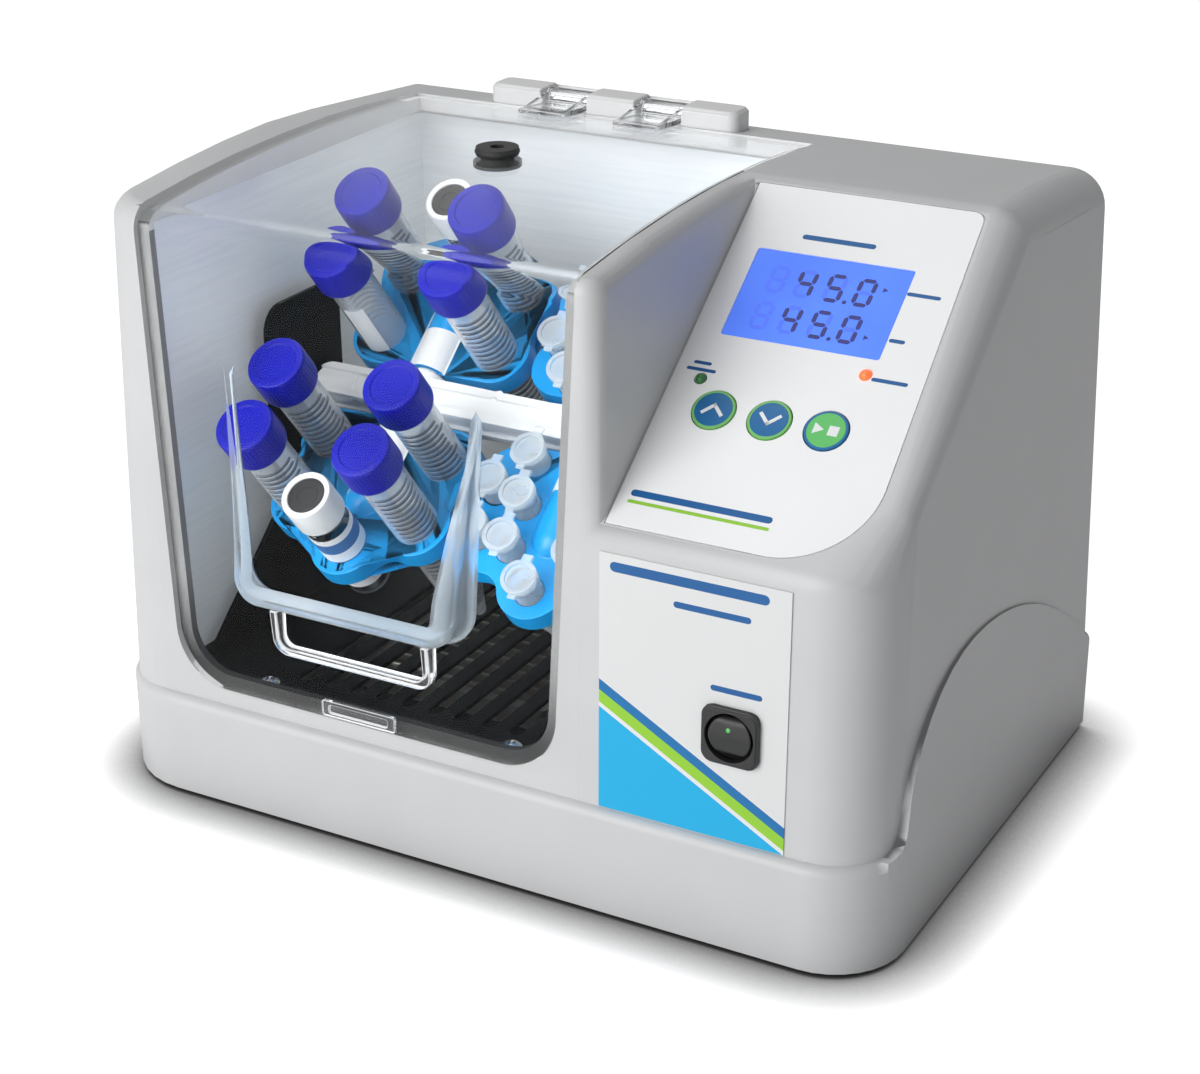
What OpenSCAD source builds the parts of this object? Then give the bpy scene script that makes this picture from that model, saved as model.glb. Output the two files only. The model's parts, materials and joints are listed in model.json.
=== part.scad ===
// Benchtop incubated rotator: a heated chamber under a clear lid, with a turning tube carrier
// Lengths are in millimetres, +X runs to the control side, +Y to the rear and +Z up

/* [Base] */
// Width of the moulded base
base_w = 307; // [290:1:340]
// Depth of the moulded base
base_d = 204; // [196:1:230]
// Corner radius of the base, seen from above
base_r = 26; // [22:1:32]
// Height of the skirt above the feet
skirt_h = 38; // [34:1:42]
// How far the skirt stands proud of the upper body
skirt_step = 3.5; // [2:0.5:5]
// Rise of the wave on the right side above the skirt
wave_rise = 49; // [30:1:70]
// Length of the wave from its foot to the rear of the base
wave_span = 189; // [170:1:196]
// Distance of the wave's crest from the rear of the base
wave_crest = 119; // [100:1:130]
// Height of the rubber feet
foot_h = 2; // [1.5:0.5:6]
// Diameter of the rubber feet
foot_d = 20; // [14:1:24]
// Distance of the feet from the sides of the base
foot_inset = 26; // [20:1:34]
// Thickness of the steel base plate
base_plate_t = 1.5; // [1:0.5:3]

/* [Body] */
// Height of the roof's front and rear edges above the feet
body_h = 214; // [206:1:224]
// Rise of the roof's middle above those edges
crown = 7; // [3:0.5:9]
// Lean of the outer walls, in degrees
lean = 1.2; // [0.5:0.1:2]
// Corner radius of the upper body, seen from above
body_r = 22; // [16:1:26]
// Corner radius of the upper body at its front left
left_r = 26; // [20:1:30]
// Rounding of the roof's edges round the chamber
edge_r = 9; // [5:0.5:10]
// Rounding of the edges round the control panel
shoulder_r = 13; // [9:0.5:16]
// Thickness of the moulded walls
wall = 3; // [2.5:0.5:4]

/* [Chamber] */
// Middle of the chamber, measured from the middle of the base
chamber_x = -40; // [-44:0.5:-36]
// Inside width of the steel liner
chamber_w = 173; // [171:0.5:176]
// Thickness of the steel liner
liner_t = 1; // [0.6:0.1:1.5]
// Thickness of the frame right of the lid, beyond the liner
frame_w = 5; // [4:0.5:8]
// Height of the chamber floor above the feet
floor_h = 41; // [40:0.5:42]
// Thickness of the floor plate
floor_t = 2; // [1.5:0.5:3]
// Width of one slot in the floor
slot_w = 5; // [3:0.5:7]
// Distance from one floor slot to the next
slot_pitch = 11; // [9:0.5:14]

/* [Lid] */
// Width of the lid's top
lid_w = 168; // [164:1:170]
// How much narrower each side is at the lower edge
lid_taper = 8; // [4:0.5:12]
// Thickness of the clear sheet
lid_t = 3; // [2:0.5:4]
// Lower edge of the lid above the skirt
lid_sill = 6; // [4:0.5:9]
// Radius of the lid's lower corners
lid_r = 21; // [12:1:28]
// Gap between the lid and its seat
lid_gap = 0.4; // [0.3:0.1:0.8]
// Width of the ledge that the lid rests on
ledge = 4; // [3:0.5:5]
// Radius of the fold between front and top
fold_r = 9; // [7.5:0.5:12]
// How far the bulge stands out at its foot
bulge_depth = 13; // [6:0.5:18]
// Width of the bulge at its top
bulge_w = 100; // [80:1:110]
// Height of the bulge's foot above the skirt
bulge_foot = 45; // [38:1:55]
// Height of the bulge
bulge_h = 83; // [60:1:95]
// Radius of the bulge's lower corners
bulge_r = 13; // [8:1:20]
// Width of the finger pull
pull_w = 64; // [50:1:74]
// Height of the finger pull
pull_h = 17; // [13:0.5:22]
// Depth of the finger pull
pull_d = 6; // [4:0.5:9]
// Diameter of the port grommet on the lid
port_d = 17; // [12:0.5:22]

/* [Hinge] */
// Distance of the hinge axis from the rear of the base
hinge_inset = 13; // [12:0.5:14]
// Height of the hinge axis above the roof there
hinge_rise = 3.4; // [3:0.1:4]
// Length of the hinge block
hinge_l = 105; // [90:1:130]
// Width of one clear knuckle
knuckle_w = 19; // [14:0.5:24]
// Distance between the two knuckles
knuckle_pitch = 40; // [34:1:48]
// Diameter of the hinge pins
hinge_pin_d = 3; // [2:0.5:4]

/* [Control panel] */
// Height of the panel's lower lip above the feet
panel_lip_h = 133.5; // [126:0.5:140]
// Slope of the panel, in degrees
panel_slope = 37; // [35:0.5:40]
// Rounding of the lower lip
lip_r = 8; // [6:0.5:10]
// Width of the printed overlay at its lower edge
overlay_w = 84; // [80:0.5:86]
// Length of the overlay along the slope
overlay_l = 137; // [134:0.5:140]
// Thickness of the overlay
overlay_t = 0.8; // [0.5:0.1:1.2]
// Width of the display window
lcd_w = 55.5; // [50:0.5:58]
// Height of the display window
lcd_h = 35.5; // [30:0.5:38]
// Diameter of the keys
key_d = 14.6; // [12:0.2:16]
// Distance from one key to the next
key_pitch = 19.5; // [17.5:0.5:21]
// Travel of a key
key_travel = 0.5; // [0.3:0.1:0.6]
// Diameter of the indicator lights
led_d = 4; // [3:0.5:5]
// Width of the front label
label_w = 66.5; // [60:0.5:70]
// Width of the power switch's bezel
switch_w = 20; // [18:0.5:23]
// Diameter of the power rocker
rocker_d = 15.5; // [14:0.5:16.5]

/* [Rotor] */
// Distance of the rotor axis from the front of the base
axis_y = 94; // [93.5:0.5:97]
// Height of the rotor axis above the feet
axis_h = 127.5; // [127:0.5:129]
// Angle at which the rotor stands still, in degrees
rotor_tilt = 39; // [0:1:90]
// Thickness of the beam
beam_w = 13; // [11:0.5:15]
// Height of the beam
beam_h = 13; // [11:0.5:15]
// Diameter of the posts
post_d = 12; // [10:0.5:13]
// Thickness of the holders
holder_t = 8; // [6:0.5:10]
// Radius of a holder's lobes
lobe_r = 13; // [12:0.25:13.5]
// Distance of the tube rows from the middle of a holder
row_x = 24; // [22.5:0.5:24.5]
// Distance of the near places from the axis
near_s = 23.5; // [23:0.5:24.5]
// Distance of the middle places from the axis
mid_s = 49.5; // [48:0.5:50]
// Distance of the far place from the axis
far_s = 62.5; // [61:0.5:63]
// Outer diameter of a conical tube
tube_d = 17; // [16:0.1:17.2]
// Length of a conical tube
tube_l = 117; // [110:0.5:118]
// Diameter of a tube cap
cap_d = 22; // [20:0.1:22.4]
// Height of a tube cap
cap_h = 13.5; // [11:0.5:15]
// Height of the cap tops above the holder's middle
cap_top = 55; // [50:0.5:55.5]
// Outer diameter of a micro tube
micro_d = 10.8; // [10:0.1:11]
// Diameter of a micro tube's cap
micro_cap_d = 13; // [12:0.1:13.6]
// Diameter of the drive shaft
shaft_d = 8; // [6:0.5:9]

/* [Hidden] */
$fn = 48;
hull_fn = 32;
eps = 0.05;
run_gap = 0.05;
fit_gap = 0.15;
skirt_z = foot_h + skirt_h;
half_w = base_w / 2 - skirt_step;
left_base_r = left_r + 8;
rear_l = 2;
rear_flare = 1.5;
wave_foot_r = 11.5;
wave_lean = 3.5;
floor_z = foot_h + floor_h;
axis_z = foot_h + axis_h;
lid_z = skirt_z + lid_sill;
bulge_z = skirt_z + bulge_foot;
bulge_top_z = bulge_z + bulge_h;
far_out = 40;

// Front face and side of the upper body at a height
function inset(z) = (z - skirt_z) * tan(lean);
function face_y(z) = skirt_step + inset(z);
function side_x(z) = half_w - inset(z);
function ledge_y(z) = face_y(z) + lid_t + lid_gap + wall;
function roof_z(y) = foot_h + body_h + crown * (1 - pow((y - base_d / 2) / (base_d / 2), 2));

bulge_reach = bulge_depth - face_y(bulge_z);
mid_y = (base_d - bulge_reach) / 2;
roof_edge_z = foot_h + body_h;
fold_y = face_y(roof_edge_z) + fold_r;
fold_z = roof_z(fold_y) - fold_r;
hinge_y = base_d - hinge_inset;
hinge_z = roof_z(hinge_y) + hinge_rise;
lid_rear_y = hinge_y - 9.5;
liner_l = chamber_x - chamber_w / 2;
liner_r = chamber_x + chamber_w / 2;
liner_rear_y = base_d - 16;
divider_x = liner_r + liner_t + frame_w;
control_l = divider_x - 2.4;
control_r = half_w - 9;
control_front_y = skirt_step + 8.5;
control_rear_y = base_d - 7;
lip_y = face_y(foot_h + panel_lip_h);
lip_z = foot_h + panel_lip_h;
overlay_x = divider_x + 0.6;
overlay_s = lip_r * tan((90 - panel_slope) / 2) + 1.5;
overlay_taper = 3.5;
lcd_x = overlay_x + 37.5;
lcd_s = overlay_s + 93.3;
key_x = overlay_x + 38.5;
key_s = overlay_s + 47;
label_x = divider_x + 1.2;
label_top_z = lip_z - lip_r * tan((90 - panel_slope) / 2) - 0.5;
switch_x = label_x + 47.5;
switch_z = skirt_z + 38;
rocker_room = 0.65;
board_drop = 11;
board_t = 1.6;
board_l = overlay_x - 1;
board_r = control_r - 5;
beam_l = liner_l + 13;
beam_r = liner_r - 5;
tube_x = beam_l + 43;
micro_x = tube_x + 2 * (row_x + lobe_r) + 3;
post_end = 40;
hole_r = tube_d / 2 + fit_gap;
vial_top = 36;
vial_d = tube_d - 0.4;
micro_top = 13;
port_y = base_d / 2 + 1;
grille_y = ledge_y(lid_z) + 0.5;
bracket_x = liner_l + 7;
bracket_t = 2;
fan_x = chamber_x;
fan_y = base_d / 2 - 2;
fan_w = 80;
fan_t = 15;
fan_leg = 8;
fan_z = foot_h + base_plate_t + fan_leg;
motor_z = axis_z - 7;
inlet_x = divider_x + 60;
inlet_z = skirt_z + 32;
inlet_w = 46;
inlet_h = 27;
inlet_seat_y = base_d - 2.6;

// Placing frames

module place() {
  translate([0, -mid_y, 0]) children();
}

module on_slope() {
  translate([0, lip_y, lip_z]) rotate([panel_slope, 0, 0]) children();
}

module on_face(z) {
  translate([0, face_y(z), z]) rotate([90 - lean, 0, 0]) children();
}

module on_rotor() {
  translate([0, axis_y, axis_z]) rotate([rotor_tilt, 0, 0]) children();
}

// Lays a profile drawn in Y and Z along X
module along_x(x0, x1) {
  translate([x0, 0, 0]) rotate([90, 0, 90]) linear_extrude(x1 - x0) children();
}

// Lays an outline drawn in X and Z along Y
module along_y(y0, y1) {
  translate([0, y1, 0]) rotate([90, 0, 0]) linear_extrude(y1 - y0) children();
}

module rounded(w, d, r) {
  square([w - 2 * r, d], center = true);
  square([w, d - 2 * r], center = true);
  for (x = [-1, 1], y = [-1, 1]) translate([x * (w / 2 - r), y * (d / 2 - r)]) circle(r);
}

module rounded_block(w, d, h, r) {
  linear_extrude(h) rounded(w, d, r);
}

// Round disc with a rounded upper rim
module puck(r, e, h) {
  rotate_extrude($fn = hull_fn) {
    square([r, h - e]);
    square([r - e, h]);
    translate([r - e, h - e]) intersection() {
      circle(e, $fn = hull_fn);
      square(e);
    }
  }
}

// Housing

// Slice of a rounded edge that ends flat at the rear of the base
module rear_bar(x, top, r) {
  translate([x, base_d - rear_l, top - r]) rotate([-90, 0, 0]) cylinder(h = rear_l, r = r, $fn = hull_fn);
}

// Square upright at the rear of the base
module rear_post(x, z, h) {
  translate([x - rear_l / 2, base_d - rear_l, z]) cube([rear_l, rear_l, h]);
}

// One hull: a puck at each front corner, uprights and rounded edges at the flat rear
module skirt() {
  side = base_w / 2;
  hull() {
    translate([left_base_r - side, left_base_r, foot_h]) puck(left_base_r, skirt_step, skirt_h);
    translate([side - base_r, base_r, foot_h]) puck(base_r, skirt_step, skirt_h);
    for (s = [-1, 1]) {
      rear_bar(s * (side - skirt_step), skirt_z, skirt_step);
      rear_post(s * (side - rear_l / 2), foot_h, skirt_h - skirt_step);
    }
  }
}

// Side view of the wave: a hollow foot, a steep rise to the crest and a long fall to the rear
module wave_profile() {
  foot_y = base_d - wave_span;
  crest_y = base_d - wave_crest;
  foot_a = 77;
  rise_a = 10.5;
  rise_l = (crest_y - foot_y - wave_foot_r * sin(foot_a)) / cos(rise_a);
  fall = wave_rise + 3;
  polygon(concat(
    [[foot_y, skirt_z - 5]],
    [for (a = [0 : 11 : foot_a]) [foot_y + wave_foot_r * sin(a), skirt_z + wave_foot_r * (1 - cos(a))]],
    [for (a = [20 : 10 : 90]) [crest_y - rise_l * cos(a), skirt_z + wave_rise * sin(a)]],
    [for (k = [1 : 10]) [crest_y + wave_crest * k / 10, skirt_z + wave_rise - fall * k * k / 100]],
    [[base_d, skirt_z - 5]]
  ));
}

module wave() {
  intersection() {
    translate([base_w / 2, 0, skirt_z]) rotate([0, -wave_lean, 0]) translate([0, 0, -skirt_z])
      along_x(-14, 0) wave_profile();
    translate([0, base_d / 2 + base_r, skirt_z - 6])
      rounded_block(base_w, base_d + 2 * base_r, wave_rise + 10, base_r);
  }
}

// One hull: discs and uprights low down, and a row of pucks under the roof on each side
module chamber_block() {
  steps = 6;
  left_x = left_r - side_x(roof_edge_z);
  right_r = edge_r - 2;
  right_e = right_r - 2;
  right_x = divider_x - right_r;
  flat = left_r - edge_r;
  front_y = face_y(roof_edge_z);
  hull() {
    translate([left_r - half_w, skirt_step + left_r, skirt_z - 6])
      cylinder(h = 6, r = left_r, $fn = hull_fn);
    translate([right_x, skirt_step + right_r, skirt_z - 6]) cylinder(h = 6, r = right_r, $fn = hull_fn);
    for (x = [rear_l / 2 - half_w, divider_x - rear_l / 2]) rear_post(x, skirt_z - 6, 6);
    rear_bar(edge_r - side_x(roof_edge_z), roof_edge_z, edge_r);
    rear_bar(divider_x - right_e, roof_edge_z, right_e);
    for (k = [0 : steps]) {
      y = front_y + left_r + (base_d - front_y - 2 * left_r) * k / steps;
      top = min(roof_z(y - flat), roof_z(y + flat));
      translate([left_x, y, top - 2 * edge_r]) puck(left_r, edge_r, 2 * edge_r);
    }
    for (k = [0 : steps]) {
      y = front_y + right_r + (base_d - front_y - 2 * right_r) * k / steps;
      top = min(roof_z(y - 2), roof_z(y + 2));
      translate([right_x, y, top - 2 * right_r]) puck(right_r, right_e, 2 * right_r);
    }
  }
}

// One hull: discs and uprights low down, a rounded lip, the slope and the crowned roof behind it
module control_block() {
  inner_x = divider_x - 6;
  slope_top = roof_z(base_d * 0.58);
  top_y = lip_y + (shoulder_r + cos(panel_slope) * (slope_top - shoulder_r - lip_z)) / sin(panel_slope);
  right = side_x(roof_edge_z) - shoulder_r;
  knee_s = 30;
  knee_c = [
    lip_y + knee_s * cos(panel_slope) + lip_r * sin(panel_slope),
    lip_z + knee_s * sin(panel_slope) - lip_r * cos(panel_slope)
  ];
  corner_z = lip_z + lip_r * (1 + tan(panel_slope) - 1 / cos(panel_slope));
  lip_c = [lip_y + lip_r, lip_z - lip_r * tan((90 - panel_slope) / 2)];
  ridge = [
    for (k = [0 : 2]) let (y = top_y + (base_d - top_y) * k / 3) [y, k == 0 ? slope_top : roof_z(y)]
  ];
  hull() {
    translate([half_w - body_r, skirt_step + body_r, skirt_z - 6])
      cylinder(h = 6, r = body_r, $fn = hull_fn);
    translate([inner_x, skirt_step + 1, skirt_z - 6]) cylinder(h = 6, r = 1, $fn = hull_fn);
    rear_post(half_w + rear_flare - rear_l / 2, skirt_z - 6, 6);
    rear_post(inner_x, skirt_z - 6, 6);
    rear_post(inner_x, roof_edge_z - rear_l, rear_l);
    rear_bar(right, roof_edge_z, shoulder_r);
    translate([inner_x, lip_c[0], lip_c[1]]) rotate([0, 90, 0]) cylinder(h = 1, r = lip_r, $fn = hull_fn);
    translate([side_x(lip_z) - body_r, lip_y + body_r, corner_z - body_r])
      puck(body_r, lip_r, body_r);
    translate([side_x(lip_z) - lip_r, knee_c[0], knee_c[1]]) sphere(lip_r, $fn = hull_fn);
    for (p = ridge) {
      translate([inner_x, p[0], p[1] - shoulder_r]) rotate([0, 90, 0])
        cylinder(h = 1, r = shoulder_r, $fn = hull_fn);
      translate([right, p[0], p[1] - shoulder_r]) sphere(shoulder_r, $fn = hull_fn);
    }
  }
}

// Path of the lid's section at a depth under its outer face, from its lower edge to its rear edge
function lid_path(d, z0, y1) = concat(
  [[face_y(z0) + d, z0]],
  [for (a = [180 : -15 : 90]) [fold_y + (fold_r - d) * cos(a), fold_z + (fold_r - d) * sin(a)]],
  [for (k = [1 : 12]) let (y = fold_y + (y1 - fold_y) * k / 12) [y, roof_z(y) - d]]
);

function turned(list) = [for (k = [len(list) - 1 : -1 : 0]) list[k]];

module lid_section(d0, d1, z0, y1) {
  polygon(concat(lid_path(d0, z0, y1), turned(lid_path(d1, z0, y1))));
}

// Front view of the lid, grown by a margin: a tapered panel with round lower corners
module lid_outline(grow) {
  z0 = lid_z - grow;
  half_top = lid_w / 2 + grow;
  tilt = atan(lid_taper / (fold_z - lid_z));
  r = lid_r + grow;
  corner_z = z0 + r;
  corner_x = half_top - (fold_z - corner_z) * tan(tilt) - r / cos(tilt);
  side = [corner_x + r * cos(tilt), corner_z - r * sin(tilt)];
  top_z = roof_z(base_d / 2) + far_out;
  translate([chamber_x, 0]) {
    polygon([
      [-corner_x, z0], [corner_x, z0], side, [half_top, fold_z], [half_top, top_z],
      [-half_top, top_z], [-half_top, fold_z], [-side[0], side[1]]
    ]);
    for (x = [-corner_x, corner_x]) translate([x, corner_z]) circle(r);
  }
}

module lid_seat_cut() {
  intersection() {
    along_x(-base_w / 2, base_w / 2)
      lid_section(-far_out, lid_t + lid_gap, skirt_z - 2, lid_rear_y + lid_gap);
    along_y(-far_out, base_d) lid_outline(lid_gap);
  }
  along_y(-far_out, lid_rear_y - ledge) lid_outline(-ledge);
}

// Space for the liner, closed above by the shell and open to the base below
module chamber_cut() {
  gap = fit_gap;
  depth = lid_t + lid_gap + wall;
  z0 = floor_z - floor_t - eps;
  front_y = ledge_y(fold_z);
  rear = liner_rear_y + liner_t + gap;
  along_x(liner_l - liner_t - gap, liner_r + liner_t + gap)
    polygon(concat(
      [[ledge_y(z0), z0]],
      [for (k = [0 : 12]) let (y = front_y + (rear - front_y) * k / 12)
        [y, min(roof_z(y), fold_z + fold_r) - depth]],
      [[rear, z0]]
    ));
  translate([liner_l + 5, grille_y + 6, 0])
    cube([chamber_w - 10, rear - grille_y - 12, floor_z]);
}

// Space behind the panel, with its front corner cut back from the rounded corner of the shell
module control_cut() {
  slope_drop = wall / cos(panel_slope);
  z_front = lip_z + (control_front_y - lip_y) * tan(panel_slope) - slope_drop;
  z_top = roof_edge_z - wall - 2;
  y_top = lip_y + (z_top + slope_drop - lip_z) / tan(panel_slope);
  intersection() {
    along_x(control_l, control_r) polygon([
      [control_front_y, 0], [control_front_y, z_front], [y_top, z_top],
      [control_rear_y, z_top], [control_rear_y, 0]
    ]);
    translate([0, 0, -1]) linear_extrude(roof_edge_z) polygon([
      [control_l - 1, 0], [control_r - 1.5 * body_r, 0], [control_r + 1, 1.5 * body_r + 1],
      [control_r + 1, base_d], [control_l - 1, base_d]
    ]);
  }
}

module overlay_outline(grow) {
  big_r = 30;
  small_r = 4;
  x1 = overlay_w + grow;
  y1 = overlay_l + grow;
  translate([overlay_x, overlay_s]) polygon([
    [-grow, -grow], [x1 - big_r, -grow], [x1, big_r - grow],
    [x1 - overlay_taper, y1 - small_r], [x1 - overlay_taper - small_r, y1], [-grow, y1]
  ]);
  translate([overlay_x + x1 - big_r, overlay_s + big_r - grow]) circle(big_r);
  translate([overlay_x + x1 - overlay_taper - small_r, overlay_s + y1 - small_r]) circle(small_r);
}

module key_places() {
  for (k = [-1 : 1]) translate([key_x + k * key_pitch, key_s, 0]) children();
}

module light_places() {
  translate([key_x - key_pitch - 9, key_s + 10.6, 0]) children();
  translate([key_x + key_pitch + 5, key_s + 22.5, 0]) children();
}

module panel_cuts() {
  on_slope() {
    translate([0, 0, -overlay_t]) linear_extrude(far_out) overlay_outline(0.3);
    translate([lcd_x, lcd_s, -2 * wall]) rounded_block(lcd_w + 1, lcd_h + 1, far_out, 1);
    key_places() translate([0, 0, -2 * wall]) cylinder(h = far_out, d = key_d + 0.8);
    light_places() translate([0, 0, -2 * wall]) cylinder(h = far_out, d = led_d + 2 * fit_gap);
  }
}

// Control side with its openings, cut before it joins the rest
module panel_block() {
  difference() {
    control_block();
    panel_cuts();
  }
}

module hinge_seat() {
  translate([chamber_x, hinge_y, roof_z(hinge_y) - 1.5])
    linear_extrude(far_out) rounded(hinge_l + 2 * fit_gap, 14 + 2 * fit_gap, 4);
  translate([chamber_x - hinge_l / 2 + 3, hinge_y, roof_z(hinge_y) - 1.5])
    cube([hinge_l - 6, far_out, far_out]);
}

module screw_places() {
  x = base_w / 2 - 7;
  for (sx = [-x, x], y = [40, base_d - 40]) translate([sx, y, 0]) children();
}

module housing() place() color([0.86, 0.87, 0.88]) difference() {
  union() {
    skirt();
    wave();
    chamber_block();
    panel_block();
  }
  chamber_cut();
  control_cut();
  lid_seat_cut();
  hinge_seat();
  translate([0, base_d / 2, 0])
    rounded_block(base_w - 2 * wall, base_d - 2 * wall, foot_h + base_plate_t, left_base_r - wall);
  screw_places() cylinder(h = foot_h + 12, d = 3.1);
  on_face(switch_z) translate([switch_x, 0, -3 * wall])
    rounded_block(switch_w - 1.2, switch_w - 1.2, far_out, 2);
  translate([inlet_x, 0, inlet_z]) {
    translate([0, inlet_seat_y, 0]) along_y(0, far_out) rounded(inlet_w, inlet_h, 3);
    translate([0, control_rear_y - 1, 0]) along_y(0, far_out) rounded(29, 21, 2);
  }
  translate([control_l - far_out / 2, axis_y, axis_z]) rotate([0, 90, 0])
    cylinder(h = far_out, d = shaft_d + 6 + 2 * run_gap);
  translate([control_l - far_out / 4, liner_rear_y - 30, axis_z + 45]) rotate([0, 90, 0])
    cylinder(h = far_out / 2, d = 4.2);
}

// Base

module base_plate() place() color([0.72, 0.73, 0.75]) difference() {
  translate([0, base_d / 2, foot_h])
    rounded_block(base_w - 2 * wall - 0.6, base_d - 2 * wall - 0.6, base_plate_t, left_base_r - wall - 0.3);
  screw_places() cylinder(h = far_out, d = 3.4);
}

module feet() place() color([0.12, 0.12, 0.13])
  for (x = [-1, 1], y = [foot_inset, base_d - foot_inset])
    translate([x * (base_w / 2 - foot_inset), y, 0]) {
      cylinder(h = foot_h - 0.6, d1 = foot_d - 1.2, d2 = foot_d);
      translate([0, 0, foot_h - 0.6]) cylinder(h = 0.6, d = foot_d);
    }

module base_screws() place() color([0.6, 0.6, 0.62]) screw_places() {
  translate([0, 0, foot_h - 1.1]) cylinder(h = 1.1, d1 = 4.6, d2 = 6);
  translate([0, 0, foot_h]) cylinder(h = 9, d = 3);
}

// Chamber

module chamber_liner() place() color([0.78, 0.79, 0.8]) difference() {
  side_top = fold_z + fold_r - lid_t - lid_gap - wall - 1;
  front_y = ledge_y(side_top) + 0.4;
  union() {
    for (x = [liner_l - liner_t, liner_r]) along_x(x, x + liner_t)
      polygon(concat(
        [[ledge_y(floor_z) + 0.4, floor_z]],
        [for (k = [0 : 6]) let (y = front_y + (liner_rear_y - front_y) * k / 6)
          [y, min(roof_z(y) - lid_t - lid_gap - wall - 1, side_top)]],
        [[liner_rear_y + liner_t, side_top - 3], [liner_rear_y + liner_t, floor_z]]
      ));
    translate([liner_l, liner_rear_y, floor_z]) cube([chamber_w, liner_t, side_top - 3 - floor_z]);
  }
  translate([liner_r - 5, axis_y, axis_z]) rotate([0, 90, 0]) cylinder(h = 10, d = shaft_d + 6 + 2 * run_gap);
  translate([liner_r - 5, liner_rear_y - 30, axis_z + 45]) rotate([0, 90, 0]) cylinder(h = 10, d = 4.2);
}

module grille_screw_places() {
  for (x = [liner_l + 36, liner_r - 36], y = [grille_y + 10, liner_rear_y - 12])
    translate([x, y, 0]) children();
}

module floor_grille() place() color([0.05, 0.05, 0.06]) {
  count = floor((chamber_w - 56) / slot_pitch);
  slot_front = grille_y + 20;
  slot_rear = liner_rear_y - 24;
  first_x = chamber_x - (count - 1) * slot_pitch / 2 + 8;
  difference() {
    translate([liner_l - 0.8, grille_y, floor_z - floor_t])
      cube([chamber_w + 1.6, liner_rear_y + 0.8 - grille_y, floor_t]);
    for (k = [0 : count - 1]) translate([first_x + k * slot_pitch, 0, 0]) {
      translate([-slot_w / 2, slot_front, 0]) cube([slot_w, slot_rear - slot_front, far_out * 2]);
      for (y = [slot_front, slot_rear]) translate([0, y, 0]) cylinder(h = far_out * 2, d = slot_w);
    }
    grille_screw_places() cylinder(h = far_out * 2, d = 3.2);
  }
}

module grille_screws() place() color([0.75, 0.75, 0.77]) grille_screw_places() {
  translate([0, 0, floor_z]) intersection() {
    translate([0, 0, -3.1]) sphere(5.1);
    cylinder(h = 3, r = 4);
  }
  translate([0, 0, floor_z - floor_t - 2]) cylinder(h = floor_t + 2, d = 3);
}

module heater_element() place() color([0.7, 0.68, 0.64]) translate([fan_x, fan_y, fan_z + fan_t]) {
  h = 8;
  difference() {
    rounded_block(fan_w, fan_w, h, 4);
    translate([0, 0, -1]) rounded_block(fan_w - 10, fan_w - 10, h + 2, 3);
  }
  for (k = [-4 : 4]) translate([-fan_w / 2 + 4, k * 7.5 - 0.8, 0.5]) cube([fan_w - 8, 1.6, h - 1]);
}

module fan_frame() place() color([0.1, 0.1, 0.11]) translate([fan_x, fan_y, fan_z]) {
  difference() {
    rounded_block(fan_w, fan_w, fan_t, 5);
    translate([0, 0, 2]) cylinder(h = fan_t, d = fan_w - 4);
    translate([0, 0, -1]) difference() {
      cylinder(h = 4, d = fan_w - 4);
      for (a = [0, 90]) rotate(a) translate([-fan_w / 2, -2.5, 0]) cube([fan_w, 5, 5]);
      cylinder(h = 5, d = 26);
    }
  }
  translate([0, 0, 1]) cylinder(h = fan_t - 2, d = 3);
  for (x = [-1, 1], y = [-1, 1]) translate([x * (fan_w / 2 - 5), y * (fan_w / 2 - 5), -fan_leg])
    cylinder(h = fan_leg, d = 8);
}

module fan_impeller() place() color([0.16, 0.16, 0.17]) translate([fan_x, fan_y, fan_z + 2.4]) {
  h = fan_t - 3.4;
  blades = 7;
  difference() {
    union() {
      cylinder(h = h, d = 30);
      intersection() {
        cylinder(h = h, d = fan_w - 6);
        for (k = [0 : blades - 1]) rotate(k * 360 / blades) translate([14, 0, h / 2]) rotate([38, 0, 0])
          translate([0, -h * 0.78, -0.7]) cube([fan_w / 2, h * 1.56, 1.4]);
      }
    }
    translate([0, 0, -1]) cylinder(h = h + 2, d = 3 + 2 * run_gap);
  }
}

module idler_bracket() place() color([0.06, 0.06, 0.07]) {
  half_top = 23;
  half_foot = 66;
  top_z = axis_z + 34;
  knee_z = axis_z - 45;
  r = 10;
  translate([bracket_x - bracket_t, 0, 0]) difference() {
    along_x(0, bracket_t) translate([axis_y, 0]) {
      polygon([
        [-half_foot, floor_z], [-half_foot, floor_z + 4], [-half_top, knee_z], [-half_top, top_z - r],
        [-half_top + r, top_z], [half_top - r, top_z], [half_top, top_z - r], [half_top, knee_z],
        [half_foot, floor_z + 4], [half_foot, floor_z]
      ]);
      for (y = [-1, 1]) translate([y * (half_top - r), top_z - r]) circle(r);
    }
    translate([-1, axis_y, axis_z]) rotate([0, 90, 0]) cylinder(h = bracket_t + 2, d = 6.1);
  }
  translate([liner_l, axis_y - half_foot, floor_z])
    cube([bracket_x - bracket_t - liner_l, 2 * half_foot, bracket_t]);
}

module idler_pin() place() color([0.7, 0.7, 0.72])
  translate([bracket_x - bracket_t - 3, axis_y, axis_z]) rotate([0, 90, 0]) {
    cylinder(h = 3, d = 10, $fn = 6);
    cylinder(h = beam_l - bracket_x + bracket_t + 3 + 11, d = 6);
  }

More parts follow.
